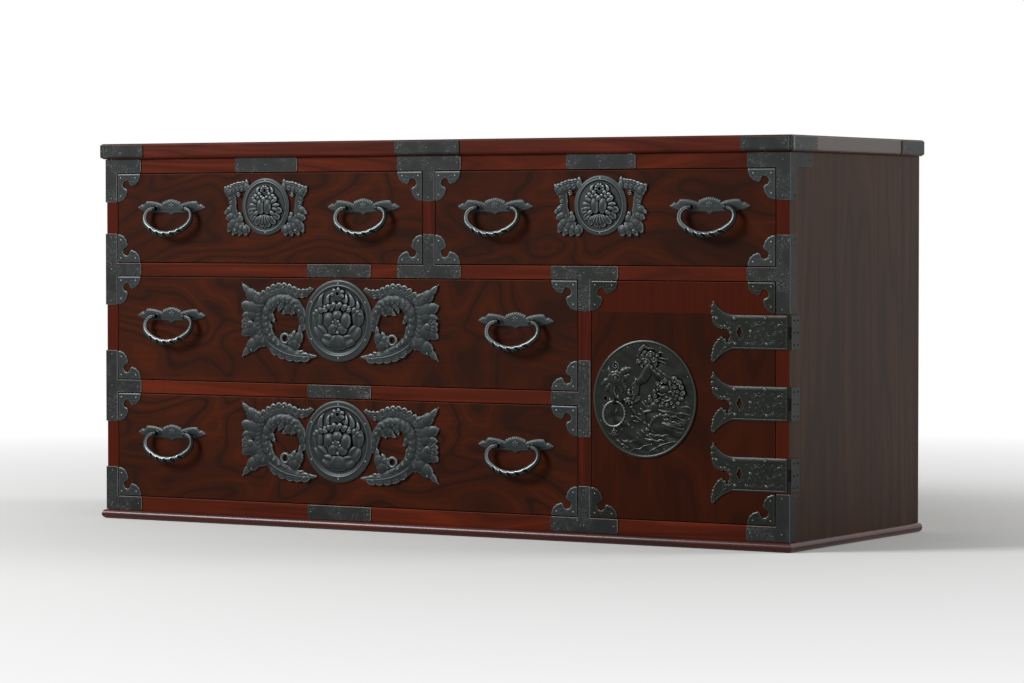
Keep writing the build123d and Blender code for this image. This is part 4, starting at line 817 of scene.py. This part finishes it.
def lacquered(name, along, colours, figure, rings, rough, shine, edge=None):
    """Zelkova under a see-through lacquer: wild dark figure, growth lines along the board and open pores.

    The figure is given as waves a metre along and across the board, and rings says how many lines it draws.
    The edge gives an axis, the millimetres from the middle beyond which the look turns, and its colours and
    shine there.
    """
    material, tree, shader = surface(name)

    def board(lengthwise, across, shift=(0, 0, 0)):
        stretch = np.full(3, across, float)
        stretch[along] = lengthwise
        return waves(tree, stretch, shift)

    broad = noise(tree, board(*figure, (3.1, 0.4, 7.7)), detail=1.5, rough=0.4, warp=0.6)
    drawn = maths(tree, "SINE", maths(tree, "MULTIPLY", broad, rings))
    lines = noise(tree, board(6.0, 170.0), detail=3, rough=0.6)  # growth lines 6 mm apart
    pores = noise(tree, board(60.0, 1500.0), detail=1)  # pores 0.7 mm wide and 17 mm long
    cloud = noise(tree, board(4.0, 9.0, (1.7, 5.2, 0.3)), detail=2)
    dark, mid, light = (linear(code) for code in colours)
    stops = ((0.0, dark), (0.2, mid), (0.75, mid), (1.0, light))
    colour = ramp(tree, maths(tree, "MULTIPLY_ADD", drawn, 0.5, 0.5), stops)
    colour = mix(tree, fade(tree, cloud, 0.38, 0.62, 0.5, 0.0), colour, dark)
    colour = mix(tree, fade(tree, lines, 0.4, 0.75, 0.0, 0.45), colour, dark)
    colour = mix(tree, fade(tree, pores, 0.3, 0.45, 0.45, 0.0), colour, dark)
    if edge:
        axis, start, low, high, edge_shine = edge
        beyond = maths(tree, "GREATER_THAN", distance(tree, axis), start * MM)
        colour = mix(tree, beyond, colour, mix(tree, lines, linear(low), linear(high)))
        shine = maths(tree, "MULTIPLY_ADD", beyond, edge_shine - shine, shine)
    # the rounded front edges, 0.1 to 0.8 mm behind the front, are painted paler: a painted highlight where
    # light would catch them
    edge_highlight = maths(tree, "MULTIPLY", within(tree, Y, -FRONT - 0.45, 0.35), 0.5)
    connect(tree, shader, {
        "Base Color": mix(tree, edge_highlight, colour, linear("#8f503a")), "Roughness": rough,
        "Specular IOR Level": shine, "Normal": bumped(tree, mix(tree, 0.4, lines, pores), 0.04 * MM),
    })
    return material


def forged(name, tones, rough, finish):
    """Iron forged by hand and fired black, with small hammer marks and grain.

    The finish takes its colour and relief, and gives back both with what tools and use have left on them, and
    with painted highlights and painted shade.
    """
    material, tree, shader = surface(name)
    skin = noise(tree, waves(tree, 900), detail=3, rough=0.65)  # grain of 1.1 mm, the finest that shows
    hammer = noise(tree, waves(tree, 210), detail=1)  # hammer marks of 5 mm
    patches = noise(tree, waves(tree, 28), detail=3)
    dark, low, high, bright = (linear(code) for code in tones)
    black = mix(tree, fade(tree, skin, 0.35, 0.6, 0.5, 0.0), mix(tree, patches, low, high), dark)
    colour, relief = finish(tree, black, bright, patches, mix(tree, 0.5, hammer, skin))
    connect(tree, shader, {
        "Base Color": colour, "Metallic": 1.0, "Roughness": fade(tree, patches, 0.3, 0.7, *rough),
        "Normal": bumped(tree, relief, 0.2 * MM, 0.7),
    })
    return material


def raised(name, tones, rough=(0.4, 0.52), wear_and_highlight=0.8):
    """Sheet iron raised from behind: the hollows are darkened, partly soot and partly painted shade, and the
    ridges are paler, partly wear and partly painted highlight.
    """
    def finish(tree, colour, bright, patches, relief):
        wear_and_painted_light = node(tree, "ShaderNodeAttribute", attribute_name="wear_and_painted_light").outputs["Fac"]
        share = maths(tree, "MULTIPLY_ADD", wear_and_painted_light, 0.7, 0.5)
        # painted shade in the hollows, partly soot, and painted highlight on the ridges and edges, partly
        # wear
        colour = mix(tree, fade(tree, share, 0.0, 0.45, 0.85, 0.0), colour, linear("#0c0c0c"))
        return mix(tree, fade(tree, share, 0.52, 1.0, 0.0, wear_and_highlight), colour, bright), relief

    return forged(name, tones, rough, finish)


def flat(name, tones, rough=(0.4, 0.52)):
    """Flat iron with faint cut scrolls here and there: nail heads painted paler, partly wear and partly
    painted highlight, bevels with a painted highlight, its sides black.
    """
    def finish(tree, colour, bright, patches, relief):
        scroll = noise(tree, waves(tree, 55, (4, 2, 9)), detail=1, warp=1.2)
        crest = fade(tree, maths(tree, "SINE", maths(tree, "MULTIPLY", scroll, 70.0)), 0.8, 0.95)
        cut = maths(tree, "MULTIPLY", crest, fade(tree, patches, 0.45, 0.55))
        colour = mix(tree, maths(tree, "MULTIPLY", cut, 0.36), colour, bright)
        # paler places by their distance from the middle: 0.7 mm up the nail heads, partly wear and partly
        # painted highlight, and halfway up the bevels, a painted highlight along the edges
        irons = ((X, SIDE + IRON), (Y, -FRONT + IRON))
        bands = ((X, BOARD[0] + BAND), (Y, BOARD[1] + BAND))
        nails, bevels = (irons + bands, 0.7, 0.5, bright), (irons, -0.25, 0.2, linear("#b4b8b6"))
        for faces, rise, half, tone in (nails, bevels):
            wear_and_highlight = 0.0
            for axis, face in faces:
                wear_and_highlight = maths(tree, "MAXIMUM", within(tree, axis, face + rise, half), wear_and_highlight)
            colour = mix(tree, maths(tree, "MULTIPLY", wear_and_highlight, 0.6), colour, tone)
        on_side = maths(tree, "MULTIPLY", within(tree, X, SIDE + 2.5, 2.3), 0.62)
        return mix(tree, on_side, colour, linear("#060606")), maths(tree, "SUBTRACT", relief, cut)

    return forged(name, tones, rough, finish)


def plain_wood(name, along=X, box=None):
    """Bare planed softwood inside the chest: straight growth lines, no shine.

    On a drawer's box, given by its node, the grain of the two sides runs from front to back.
    """
    material, tree, shader = surface(name)
    dark, pale = linear("#8a6645"), linear("#b89268")
    stretches = np.full((3, 3), 160.0) - 156.0 * np.eye(3)  # growth lines 6 mm apart and 250 mm long
    lines = noise(tree, waves(tree, stretches[along]), detail=3)
    if box:
        low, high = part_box(box)
        inner = (high[X] - low[X]) / 2 - 10.1 * MM  # half its width between the sides
        in_side = maths(tree, "GREATER_THAN", distance(tree, X, (low[X] + high[X]) / 2 / MM), inner)
        lines = mix(tree, in_side, lines, noise(tree, waves(tree, stretches[Y]), detail=3))
    cloud = noise(tree, waves(tree, (3, 9, 9)), detail=2)
    tone = mix(tree, fade(tree, lines, 0.3, 0.7, 0.0, 0.8), dark, pale)
    connect(tree, shader, {
        "Base Color": mix(tree, maths(tree, "MULTIPLY", cloud, 0.3), tone, dark), "Roughness": 0.62,
        "Normal": bumped(tree, lines, 0.08 * MM),
    })
    return material


def filed_steel(name):
    """Lock parts: bare filed steel with fine scratches."""
    material, tree, shader = surface(name)
    scratches = noise(tree, waves(tree, (60, 60, 1800)), detail=2)
    connect(tree, shader, {
        "Base Color": mix(tree, scratches, linear("#5c5e5f"), linear("#7c7e7e")), "Metallic": 1.0,
        "Roughness": fade(tree, scratches, 0.3, 0.7, 0.3, 0.45), "Normal": bumped(tree, scratches, 0.04 * MM),
    })
    return material


# drawer fronts: deep red-brown lacquer over wild figure, almost black in the dark bands
front_wood = lacquered("zelkova_lacquer", X, ("#2a1106", "#3f1908", "#4c1d08"), (4.5, 9.0), 60, 0.4, 0.06)
# the door: the same lacquer over calmer upright grain, with a redder band across its top
door_wood = lacquered(
    "zelkova_door_lacquer", Z, ("#2c0f05", "#391505", "#421806"), (2.5, 9.0), 34, 0.4, 0.05,
    (Z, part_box("door_panel")[1][Z] / MM - 44.5, "#3b1205", "#501a09", 0.05),
)
# rails: the same lacquer over straight grain, redder
rail_wood = lacquered(
    "zelkova_rail_lacquer", X, ("#45180a", "#5a200f", "#6c2812"), (1.6, 24.0), 40, 0.4, 0.06
)
# the top board: as the rails, with duller end grain
board_wood = lacquered(
    "zelkova_board_lacquer", X, ("#43170c", "#561f11", "#662718"), (1.6, 24.0), 40, 0.4, 0.08,
    (X, BOARD[0] - 0.5, "#3e3028", "#4a3b33", 0.4),
)
# stiles: as the rails, grain upright
stile_wood = lacquered(
    "zelkova_stile_lacquer", Z, ("#3a1206", "#4c1709", "#5c1d0b"), (1.6, 24.0), 40, 0.4, 0.06
)
# side panels: thinner, duller lacquer that looks brown-grey, and red on the panel's front edge
side_wood = lacquered(
    "side_lacquer", Z, ("#2b1a10", "#3a2416", "#442a1a"), (1.5, 16.0), 30, 0.42, 0.07,
    (Y, -FRONT - 0.5, "#3f1407", "#561b0a", 0.05),
)
# nosing of the base: glossy red lacquer
base_wood = lacquered("base_lacquer", X, ("#34100a", "#48150b", "#561b10"), (1.5, 20.0), 30, 0.24, 0.3)
# inside of drawers and carcass: pale bare cedar
bare_wood = plain_wood("bare_cedar")
upright_wood = plain_wood("bare_cedar_upright", Y)
box_wood = {
    plain_wood(f"bare_cedar_{name}_box", box=f"{name}_drawer_box"): [f"{name}_drawer_box"] for name in DRAWERS
}
# lock plates, handle plates and corner leaves: black iron, grey where the relief is painted paler, partly
# wear and partly painted highlight
raised_iron = raised("blackened_iron_raised", ("#1c1e1e", "#2b2e2f", "#373b3c", "#8b9192"))
# the door's medallion and straps: the blackest iron
door_iron = raised("blackened_iron_door", ("#151615", "#26251f", "#2c302f", "#7c8180"), (0.27, 0.38), 0.6)
# the hinges' leaves on the chest's side: blacker still
side_iron = raised("blackened_iron_side", ("#0a0a09", "#161511", "#1a1c1b", "#444746"), (0.3, 0.42))
# frame irons: flat black iron with faint cut scrolls
flat_iron = flat("blackened_iron_flat", ("#1a1c1b", "#282a29", "#333635", "#6a6e6d"))
# drop handles and ring: the same iron, smoothed by hands so that it catches bright lines of light, with
# painted highlights and painted shade from their meshes
handled_iron = raised("blackened_iron_handled", ("#101212", "#181a1a", "#232626", "#9a9f9f"), (0.22, 0.3))
steel = filed_steel("filed_steel")

# ---------------------------------------------------------------- materials of the CAD nodes
cad_materials = {
    front_wood: [f"{name}_drawer_front" for name in DRAWERS],
    door_wood: ["door_panel"],
    rail_wood: ["front_rails"],
    board_wood: ["top_board"],
    stile_wood: ["front_stiles"],
    side_wood: ["side_panel_left", "side_panel_right"],
    base_wood: ["base_moulding"],
    bare_wood: ["bottom_board", "back_panel", "dust_boards", "cupboard_shelf", "stop_blocks"],
    upright_wood: ["partitions"],
    **box_wood,
    flat_iron: ["corner_angle_irons", "tee_irons", "rail_plates", "top_board_bands"],
    side_iron: ["hinge_side_leaves"],
    steel: [
        "door_lock_case", "door_lock_bolt",
        *(f"{name}_lock_{part}" for name in DRAWERS for part in ("case", "bolt")),
    ],
}
for material, names in cad_materials.items():
    for name in names:
        frame["nodes"][name].data.materials.clear()
        frame["nodes"][name].data.materials.append(material)


# ---------------------------------------------------------------- the mounts of the drawers
def corner_set(name, body, panel, replaced, iron=raised_iron):
    """Four corner leaves on a drawer front or the door."""
    low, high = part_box(panel)
    bm = bmesh.new()
    for x, side in ((low[X] / MM, 1), (high[X] / MM, -1)):
        for z, up in ((low[Z] / MM, 1), (high[Z] / MM, -1)):
            emboss(bm, corner_leaf, (-1, 45, -1, 45), 0.6, LEAF, (x, z), (side, up))
            nails = [(x + side * u, z + up * v) for u, v in ((6, 6), (34.4, 6), (6, 34.4))]
            nail_heads(bm, nails, 1.5, 1.0, LEAF + 0.4)
    finish_piece(bm, name, body, iron, replaced)


def hanging(lean):
    """Up along a handle that leans forward as it hangs, and out from it towards the viewer."""
    return np.array([0, math.sin(lean), math.cos(lean)]), np.array([0, -math.cos(lean), math.sin(lean)])


def bail_line(step=0.8):
    """A bail's middle line, u across and v up from its pivots, and how far along it each point is."""
    start, half_width, drop, turn = 31.0, 44.5, 40.5, math.radians(50)
    shoulder = half_width - start
    fall = drop - shoulder
    part = (1 - math.cos(turn)) / math.sin(turn)
    grip = (half_width - fall * part) / (math.cos(turn) - (1 - math.sin(turn)) * part)
    corner = (fall - grip * (1 - math.sin(turn))) / math.sin(turn)
    at, heading, points = np.array([start, 0.0]), 0.0, []
    for radius, angle in ((shoulder, math.pi / 2), (corner, turn), (grip, math.pi / 2 - turn)):
        count = max(4, round(radius * angle / step))
        for _ in range(count):
            points.append(at.copy())
            chord = 2 * radius * math.sin(angle / count / 2)
            way = heading - angle / count / 2
            at += chord * np.array([math.cos(way), math.sin(way)])
            heading -= angle / count
    right = np.array([*points, at])
    line = np.vstack([right, (right * [-1, 1])[-2::-1]])
    along = np.concatenate([[0], np.cumsum(np.hypot(*np.diff(line, axis=0).T))])
    return line, along


def bail(name, body, pivot, replaced):
    """A drop handle: slim limbs, and a thicker grip with slanting leaf cuts along its front."""
    line, along = bail_line()
    up, out = hanging(math.atan2(9.0, 40.5))
    points = pivot + line[:, :1] * [1, 0, 0] + line[:, 1:] * up
    ahead = np.gradient(line, axis=0)
    ahead /= np.hypot(*ahead.T)[:, None]
    inward = -ahead[:, 1:] * [1, 0, 0] + ahead[:, :1] * up
    outward = np.tile(out, (len(line), 1))
    middle = along[-1] / 2
    grip = np.clip((62 - np.abs(along - middle)) / 26, 0, 1)
    grip = grip**2 * (3 - 2 * grip)
    thick = np.column_stack([3.6 + 1.4 * grip, 2.86 + 0.58 * grip])

    def radii(row, turn):
        # fingers rub one side of the bow, painted paler as wear and as a painted highlight, and five oval
        # cuts slant across its front, painted dark as painted shade, with paler rims as a painted highlight
        ridge = 0.05 + 0.38 * np.exp(-(((turn - math.radians(140)) / math.radians(30)) ** 2))
        cut, rim = np.zeros(len(row)), np.zeros(len(row))
        side = ((turn - math.radians(58) + math.pi) % math.tau - math.pi) * 4.0
        for n in range(-2, 3):
            away = along[row] - middle - 13.5 * n
            lengthwise, crosswise = away * 0.87 + side * 0.5, side * 0.87 - away * 0.5
            oval = 1 - (lengthwise / 5.6) ** 2 - (crosswise / 2.1) ** 2
            cut = np.maximum(cut, np.sqrt(np.clip(oval, 0, 1)))
            rim = np.maximum(rim, np.exp(-(((oval + 0.3) / 0.3) ** 2)))
        return thick[row].T - 0.95 * cut, ridge + 0.2 * rim - 0.75 * cut

    bm = bmesh.new()
    tube(bm, points, (inward, outward), radii, 22)
    pin = [(-5.2, 0), (-5.2, 1.9), (1.5, 1.9), (1.5, 0)]
    for side in (-1, 1):
        turned(bm, pin, pivot + [side * 30.5, 0, 0], (side, 0, 0), 16)
    finish_piece(bm, name, body, handled_iron, replaced)


def handle_backs(name, body, pivots, replaced):
    """The two back plates of a drawer's handles with the barrel eyes their bails hang in."""
    bm = bmesh.new()
    barrel = [(-2.5, 0), (-2.5, 3.1), (-1.9, 3.8), (-0.6, 4.0), (0.6, 4.0), (1.9, 3.8), (2.5, 3.1), (2.5, 0)]
    collar = [(-0.5, 0), (-0.5, 5.4), (1.0, 5.2), (1.9, 4.0), (2.3, 2.4), (4.6, 2.3), (4.6, 0)]
    for x, y, z in pivots:
        emboss(bm, handle_plate, (-66, 66, -12, 16), 0.55, BACK, (x, z))
        for eye_x in (x - 28, x + 28):
            turned(bm, barrel, (eye_x, y, z), (1, 0, 0))
            turned(bm, collar, (eye_x, FRONT - BACK, z), (0, -1, 0))
    finish_piece(bm, name, body, raised_iron, replaced)


def round_nails(at, radius, turns):
    """Places on a circle, their turns in degrees from the top."""
    return [(at[0] + radius * math.sin(t), at[1] + radius * math.cos(t)) for t in np.radians(turns)]


def lock_mount(name, body, replaced, big):
    """A round embossed lock plate between two leafy wings."""
    at = centre(replaced)
    if big:
        disc, radius, cell, turns = big_rosette, 62, 0.6, range(0, 360, 60)
        wing, area, wing_cell = big_wing, (26, 181, -64, 64), 0.65
        wing_nails = np.array([(162, 46), (160, -46), (152, 20), (100, 50), (62, -56)])
    else:
        disc, radius, cell, turns = small_rosette, 43.5, 0.5, (0, 180)
        wing, area, wing_cell = small_wing, (24, 78, -46, 46), 0.5
        wing_nails = np.array([(64, 30), (56, -36), (36, 34)])
    bm = bmesh.new()
    emboss(bm, disc, (-radius - 1, radius + 1, -radius - 1, radius + 1), cell, PLATE, at)
    nail_heads(bm, round_nails(at, 0.91 * radius, turns), 1.6, 1.0, PLATE + 1.2)
    for side in (-1, 1):
        emboss(bm, wing, area, wing_cell, WING, at, (side, 1))
        nail_heads(bm, wing_nails * [side, 1] + at, 1.5, 1.0, WING + 3.2)
    finish_piece(bm, name, body, raised_iron, replaced)


for name, big in DRAWERS.items():
    body = f"{name}_drawer"
    corner_set(f"{name}_corner_leaves", body, f"{name}_drawer_front", f"{name}_corner_irons")
    lock_mount(f"{name}_lock_mount", body, f"{name}_lock_plate", big)
    pivots = {side: joint_at[f"{name}_{side}_bail_swing"] for side in ("left", "right")}
    handle_backs(f"{name}_handle_backs", body, pivots.values(), f"{name}_handle_plates")
    for side, pivot in pivots.items():
        bail(f"{name}_{side}_drop_handle", f"{name}_{side}_handle", pivot, f"{name}_{side}_bail")


# ---------------------------------------------------------------- the mounts of the door
def lion_medallion():
    """The door's round plate with the nails of its rim and the eye of the ring pull."""
    at, ring_at = centre("door_medallion"), joint_at["door_pull_swing"]
    bm = bmesh.new()
    emboss(bm, medallion, (-86, 86, -86, 86), 0.62, PLATE, at)
    rim_nails = round_nails(at, 78.5, (20, 65, 110, 155, 205, 245, 300, 340))
    nail_heads(bm, rim_nails, 1.6, 1.0, PLATE + 0.6, 0.3)
    eye = [(-2.1, 2.7), (-2.1, 4.3), (-1.4, 4.7), (1.4, 4.7), (2.1, 4.3), (2.1, 2.7), (-2.1, 2.7)]
    shank = [(0, 0), (0, 6.5), (1.2, 6.2), (2.2, 4.4), (3.4, 2.6), (7.2, 1.9), (7.2, 0)]
    turned(bm, eye, ring_at, (1, 0, 0), 24)
    turned(bm, shank, (ring_at[X], FRONT - PLATE, ring_at[Z]), (0, -1, 0))
    finish_piece(bm, "door_lion_medallion", "door", door_iron, "door_medallion")


def ring_pull():
    """A forged ring that hangs slightly forward, with small cuts all round its outer edge."""
    up, out = hanging(math.radians(6))
    turns = np.linspace(0, math.tau, 150, endpoint=False)
    radial = np.sin(turns)[:, None] * [1, 0, 0] - np.cos(turns)[:, None] * up
    middle = joint_at["door_pull_swing"] - 18.2 * up

    def radii(row, turn):
        # the ring is painted a little paler all round, partly wear and partly painted highlight, and dark in
        # its small cuts, painted shade
        cut = 0.35 * (0.5 + 0.5 * np.cos(26 * turns[row])) * np.clip(np.cos(turn), 0, 1)
        return np.array([2.1 - cut, 2.1 - cut]), 0.3 - 2 * cut

    bm = bmesh.new()
    tube(bm, middle + 18.2 * radial, (radial, np.tile(out, (len(turns), 1))), radii, 18, closed=True)
    finish_piece(bm, "door_ring_pull", "door_pull", handled_iron, "door_ring")


def forked_straps():
    """The door's three hinge straps with their nails, and the knuckles on either side of the fixed leaf's."""
    hinge_x, hinge_y, _ = joint_at["door_swing"]
    half, gap = 24, 8.3  # half the strap's height, and half the height of the fixed leaf's knuckle
    knuckle = half - gap
    profile = [(0, 0), (0, 2.4), (0.4, 2.8), (knuckle - 0.4, 2.8), (knuckle, 2.4), (knuckle, 0)]
    nails = np.array([(0.93, 0.8), (0.7, 0.8), (0.3, 0.85), (0.49, 0.06), (0.69, -0.68), (0.28, -0.68)])
    leaves_low, leaves_high = (corner[Z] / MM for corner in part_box("hinge_side_leaves"))
    bm = bmesh.new()
    for level in np.linspace(leaves_low + half, leaves_high - half, 3):
        emboss(bm, strap, (-126, -1, -48, 48), 0.7, STRAP, (SIDE, level))
        nail_heads(bm, nails * [-123, half] + [SIDE, level], 3.2, 2.2, STRAP + 0.7, 0.35)
        for foot in (level - half, level + gap):
            turned(bm, profile, (hinge_x, hinge_y, foot), (0, 0, 1), 20)
    finish_piece(bm, "door_forked_straps", "door", door_iron, "door_strap_hinges")


corner_set("door_corner_leaves", "door", "door_panel", "door_corner_irons", door_iron)
lion_medallion()
ring_pull()
forked_straps()


# ---------------------------------------------------------------- floor, light and camera
def seen_white(tree):
    """How far a ray sees the white background: the camera's rays, and those in mirrors and through glass."""
    path = node(tree, "ShaderNodeLightPath").outputs
    shiny = maths(tree, "MAXIMUM", path["Is Glossy Ray"], path["Is Transmission Ray"])
    return maths(tree, "MAXIMUM", path["Is Camera Ray"], shiny)


def pale_floor():
    """A floor that is pale to the camera and fades into the white round it, and is duller to the object."""
    mesh = bpy.data.meshes.new("floor")
    bm = bmesh.new()
    bmesh.ops.create_grid(bm, x_segments=1, y_segments=1, size=30)
    bm.to_mesh(mesh)
    bm.free()
    material, tree, shader = surface("pale_floor")
    shown = seen_white(tree)
    away = node(tree, "ShaderNodeVectorMath", {0: waves(tree)}, operation="LENGTH").outputs["Value"]
    values = {"Value": away, "From Min": 0.7, "From Max": 2.6}
    beyond = node(tree, "ShaderNodeMapRange", values).outputs["Result"]
    connect(tree, shader, {
        "Base Color": mix(tree, shown, linear("#a8a8a6"), linear("#f4f4f2")), "Roughness": 0.95,
        "Specular IOR Level": 0.0,
    })
    glow = node(tree, "ShaderNodeEmission", {"Color": (1, 1, 1, 1), "Strength": 1.0}).outputs[0]
    both = {0: maths(tree, "MULTIPLY", beyond, shown), 1: shader.outputs[0], 2: glow}
    blended = node(tree, "ShaderNodeMixShader", both).outputs[0]
    connect(tree, tree.nodes["Material Output"], {"Surface": blended})
    mesh.materials.append(material)
    floor = bpy.data.objects.new("floor", mesh)
    bpy.context.scene.collection.objects.link(floor)


def studio_world():
    """Soft even light from all round, seen as white."""
    world = bpy.data.worlds.new("studio")
    bpy.context.scene.world = world
    world.use_nodes = True
    tree = world.node_tree
    soft = tree.nodes["Background"]
    connect(tree, soft, {"Color": linear("#f4f6f8"), "Strength": 0.3})
    white = node(tree, "ShaderNodeBackground", {"Color": (1, 1, 1, 1), "Strength": 1.0})
    both = {0: seen_white(tree), 1: soft.outputs[0], 2: white.outputs[0]}
    seen = node(tree, "ShaderNodeMixShader", both).outputs[0]
    connect(tree, tree.nodes["World Output"], {"Surface": seen})


def area_light(name, at, towards, size, power):
    """A soft rectangular light aimed at a point."""
    data = bpy.data.lights.new(name, "AREA")
    data.shape, data.size, data.size_y, data.energy = "RECTANGLE", size[0], size[1], power
    lamp = bpy.data.objects.new(name, data)
    lamp.location = at
    lamp.rotation_euler = (Vector(towards) - Vector(at)).to_track_quat("-Z", "Y").to_euler()
    bpy.context.scene.collection.objects.link(lamp)


def aim_camera():
    """A long lens from the right, a little above the floor, that looks slightly down."""
    data = bpy.data.cameras.new("camera")
    data.lens, data.sensor_width = 130.25, 36
    camera = bpy.data.objects.new("camera", data)
    yaw, pitch = math.radians(-31.39), math.radians(-1.80)
    ahead = Vector((math.sin(yaw) * math.cos(pitch), math.cos(yaw) * math.cos(pitch), math.sin(pitch)))
    right = Vector((math.cos(yaw), -math.sin(yaw), 0))
    turn = Matrix((right, right.cross(ahead), -ahead)).transposed()
    camera.matrix_world = Matrix.Translation((2.97154, -4.84549, 0.46015)) @ turn.to_4x4()
    bpy.context.scene.collection.objects.link(camera)
    bpy.context.scene.camera = camera


pale_floor()
studio_world()
area_light("key_upper_left", (-3.0, -3.4, 2.7), (0, -0.2, 0.3), (1.7, 1.7), 205)
area_light("side_right", (3.6, 2.2, 1.9), (0.6, 0, 0.3), (2.0, 1.6), 70)
aim_camera()
bpy.context.scene.view_settings.view_transform = "Standard"
